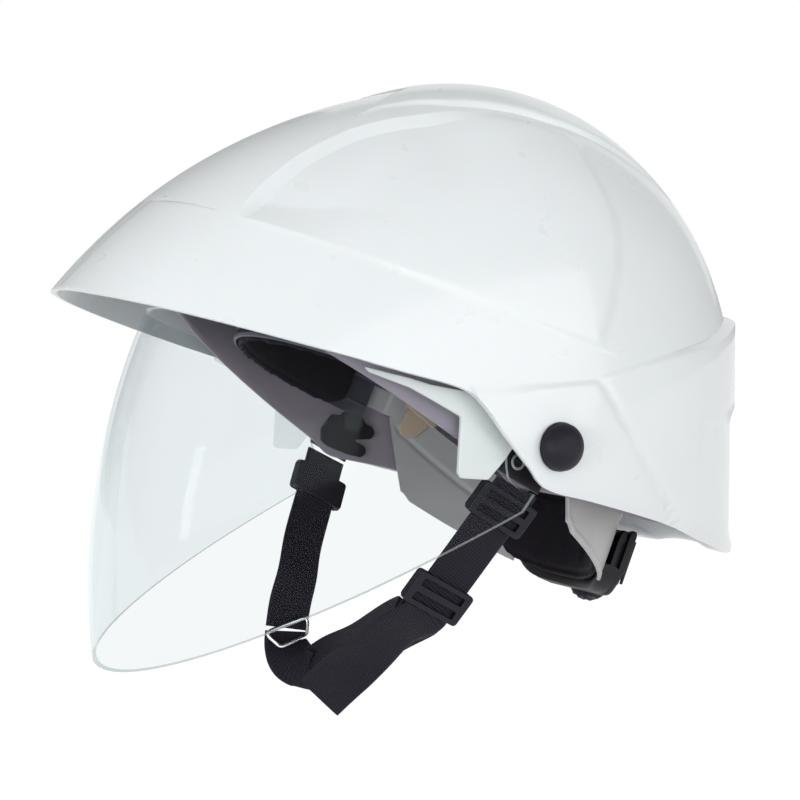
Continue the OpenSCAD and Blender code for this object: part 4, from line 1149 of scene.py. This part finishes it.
top = [mix(STRAP_START, STRAP_TOP, 0.5), STRAP_TOP, on_run(4)]
top_face = [(1, 0, 0.02), np.array([1, 0, 0]) + STRAP_FACE, STRAP_FACE]
left = [*top, on_run(20), on_run(40), on_run(66)], [*top_face, STRAP_FACE, STRAP_FACE, STRAP_FACE]
right = ([*top, on_run(25), on_run(50), (62.5, -44, -76), (61, -49, -90), (60, -52, -103)],
         [*top_face, STRAP_FACE, STRAP_FACE, (1, -0.1, -0.2), (1, 0, -0.1), (1, 0, 0)])
under = ([(-59.6, -52.3, -104.4), (-58.5, -53, -110.5), (-55.3, -51.5, -117.8), (-52.8, -47.5, -122.6),
          (-49, -41.5, -123.5), (-34.1, -37.8, -115), (-5.1, -38.7, -103.8), (27.9, -41.3, -88.5), (46, -42.6, -81),
          (55, -44, -77.9), on_run(69, -3.7), on_run(56, -3.4)],
         [(-1, 0, 0), (-1, 0.05, -0.05), (-0.93, 0.34, 0.13), (-0.74, 0.63, 0.24), (-0.36, 0.87, 0.33),
          (-0.08, 0.93, 0.35), (-0.08, 0.93, 0.35), (-0.1, 0.93, 0.35), (-0.3, 0.87, 0.38), (-0.7, 0.6, 0.38),
          -STRAP_FACE, -STRAP_FACE])
tail = ([on_run(66.6), on_run(71), (50, -54.8, -85.5), (38, -61.3, -98.1), (24.8, -68.2, -110), (12.8, -72.8, -121.3)],
        [STRAP_FACE, STRAP_FACE, (0.76, -0.31, -0.57), (0.75, -0.43, -0.51), (0.62, -0.73, -0.27), (0.58, -0.76, -0.3)])
webbing = woven("webbing", (0.005, 0.004, 0.008), (0.021, 0.017, 0.030))
for name, node, run in (("left_webbing", "left_side_strap", left), ("right_webbing", "right_side_strap", right),
                        ("under_chin_webbing", "under_chin_strap", under), ("tail_webbing", "strap_tail", tail)):
    v, f, uv = ribbon(*run, 24, 1.4)
    if run is right:
        v, f = mirrored((v, f))
    mesh_piece(name, at(v), f, webbing, "chin_strap", [node], uv=uv)

# Slider buckles.
# Two flat frames of glossy black plastic with windows, joined by side rails: the webbing runs between them, and
# grips on the bars


def slider(middle):
    """A slider round a place on the straight run."""
    ex, ey = STRAP_SIDE, STRAP_DIR
    window = [rounded([(-12.2, y - 1.9), (12.2, y - 1.9), (12.2, y + 1.9), (-12.2, y + 1.9)], 0.8, 4)
              for y in (-3.6, 3.6)]
    frame_line = rounded([(-16, -8), (16, -8), (16, 8), (-16, 8)], 2.2, 8)
    return joined([
        cut_plate(frame_line, window, 1.7, 0.6, middle + STRAP_FACE * 1.65, ex, ey),
        cut_plate(frame_line * [1, 0.97], [], 1.5, 0.5, middle - STRAP_FACE * 1.7, ex, ey),
        *(box((x - 1.7, -7.7, -1.2), (x + 1.7, 7.7, 1.2), 0.3, middle, ex, ey) for x in (-14.2, 14.2)),
        *(box((-12.6, y - 0.75, 2.2), (12.6, y + 0.75, 2.55), 0.17, middle, ex, ey) for y in (-6.7, 0, 6.7)),
    ])


for name, body, node, (v, f) in (
        ("left_slider_frame", "left_slider", "left_upper_slider", slider(on_run(10.8))),
        ("right_slider_frame", "right_slider", "right_upper_slider", mirrored(slider(on_run(16.8)))),
        ("lower_slider_frame", "chin_strap", "lower_slider", slider(on_run(60)))):
    mesh_piece(name, at(v), f, black_gloss, body, [node], smooth=35)

# Wire loop.
# One bright wire bent to a loop with round corners, its ends butted under the strap; the right side strap and the
# under-chin strap both hang in it


def bent_wire(path, radius, n=14):
    """A round wire along a closed flat path: circles spanned by the path's normal and its cross direction."""
    tangent = unit(np.roll(path, -1, 0) - np.roll(path, 1, 0))
    normal = unit(np.cross(tangent[0], tangent[len(path) // 3]))
    t = np.linspace(0, 2 * np.pi, n, endpoint=False)[None, :, None]
    v = path[:, None] + radius * (np.cos(t) * normal + np.sin(t) * np.cross(tangent, normal)[:, None])
    return v, quads(len(path), n, wrap_rows=True, wrap_cols=True)[:, ::-1]


middle = np.array([-57.9, -53, -100.6])
bar = unit([0, 24.2, 5.8]) * 13
drop = np.array([4, 2, -8.4])
path = rounded([middle - bar, middle + bar, middle + bar * 0.6 + drop, middle - bar * 0.6 + drop], 3.0, 9)
closed = np.concatenate([path, path[:1]])
along = np.concatenate([[0], np.cumsum(np.linalg.norm(np.diff(closed, axis=0), axis=1))])
even = np.linspace(0, along[-1], 200, endpoint=False)
path = np.stack([np.interp(even, along, closed[:, k]) for k in range(3)], 1)
v, f = bent_wire(path, 0.95)
mesh_piece("loop_wire", at(v), f, metal("wire", (0.90, 0.90, 0.92), 0.2, 0.25), "chin_strap", ["wire_loop"])

# Studio.
# A white floor that keeps the helmet's shadow, a plain white surround, six soft lamps, and the camera, solved from
# the helmet's outlines
scene = bpy.context.scene
scene.view_settings.view_transform = "Standard"


def seen(f, *rays):
    """1 for the camera's rays and for these kinds, and 0 for the rest."""
    share = f.add("LightPath", out="Is Camera Ray")
    for ray in rays:
        share = share.calc("MAXIMUM", f.add("LightPath", out=f"Is {ray} Ray"))
    return share


bpy.ops.mesh.primitive_plane_add(size=30, location=(0, 0, -0.156))
floor = bpy.context.object
floor.name = "floor"
f = finish("floor")
grey = f.add("BsdfDiffuse", {"Color": (0.9, 0.9, 0.9, 1.0)})
white = f.add("Emission", {"Color": (1, 1, 1, 1), "Strength": 1.06})
floor.data.materials.append(f.done(f.add("MixShader", {
    0: seen(f, "Glossy", "Transmission") * 0.95, 1: grey, 2: white})))

AROUND = 0.42
f = Finish(bpy.data.worlds.new("studio"))
f.add("OutputWorld", {"Surface": f.add("Background", {
    "Color": (1, 1, 1, 1), "Strength": seen(f, "Transmission") * (1 - AROUND) + AROUND})})
scene.world = f.owner


def lamp(name, place, aim, size, watts):
    """A soft box at a place, turned to its aim."""
    data = bpy.data.lights.new(name, "AREA")
    data.shape = "RECTANGLE"
    data.size, data.size_y = size
    data.energy = watts
    o = bpy.data.objects.new(name, data)
    o.location = place
    o.rotation_mode = "QUATERNION"
    o.rotation_quaternion = (Vector(place) - Vector(aim)).to_track_quat("Z", "Y")
    bpy.context.collection.objects.link(o)


lamp("key", (1.8, -1.2, 2.2), (0, 0, 0), (2.8, 2.8), 8)
lamp("side", (2.6, 1.0, 0.56), (0, 0, 0), (2.6, 1.4), 19.5)
lamp("front", (0.5, -2.6, 0.5), (0, 0, 0), (2.4, 1.3), 7)
lamp("low", (1.9, -1.3, 0.02), (0, 0, -0.02), (2.4, 0.5), 13.5)
lamp("back", (-2.0, 2.2, 1.3), (0, 0, 0), (2.6, 2.0), 9)
lamp("strip", (0.9, -1.95, 0.09), (0.05, -0.15, 0), (0.22, 0.56), 6.5)

AZIMUTH, ELEVATION = math.radians(58.37), math.radians(3.4)
back = Vector((math.sin(AZIMUTH) * math.cos(ELEVATION), -math.cos(AZIMUTH) * math.cos(ELEVATION), math.sin(ELEVATION)))
camera = bpy.data.objects.new("camera", bpy.data.cameras.new("camera"))
camera.location = Vector(at((673.5, -435.3, 63.2)))
camera.rotation_mode = "QUATERNION"
camera.rotation_quaternion = back.to_track_quat("Z", "Y")
camera.data.sensor_width = 36
camera.data.lens = 36 * 1626.4 / 800
bpy.context.collection.objects.link(camera)
scene.camera = camera
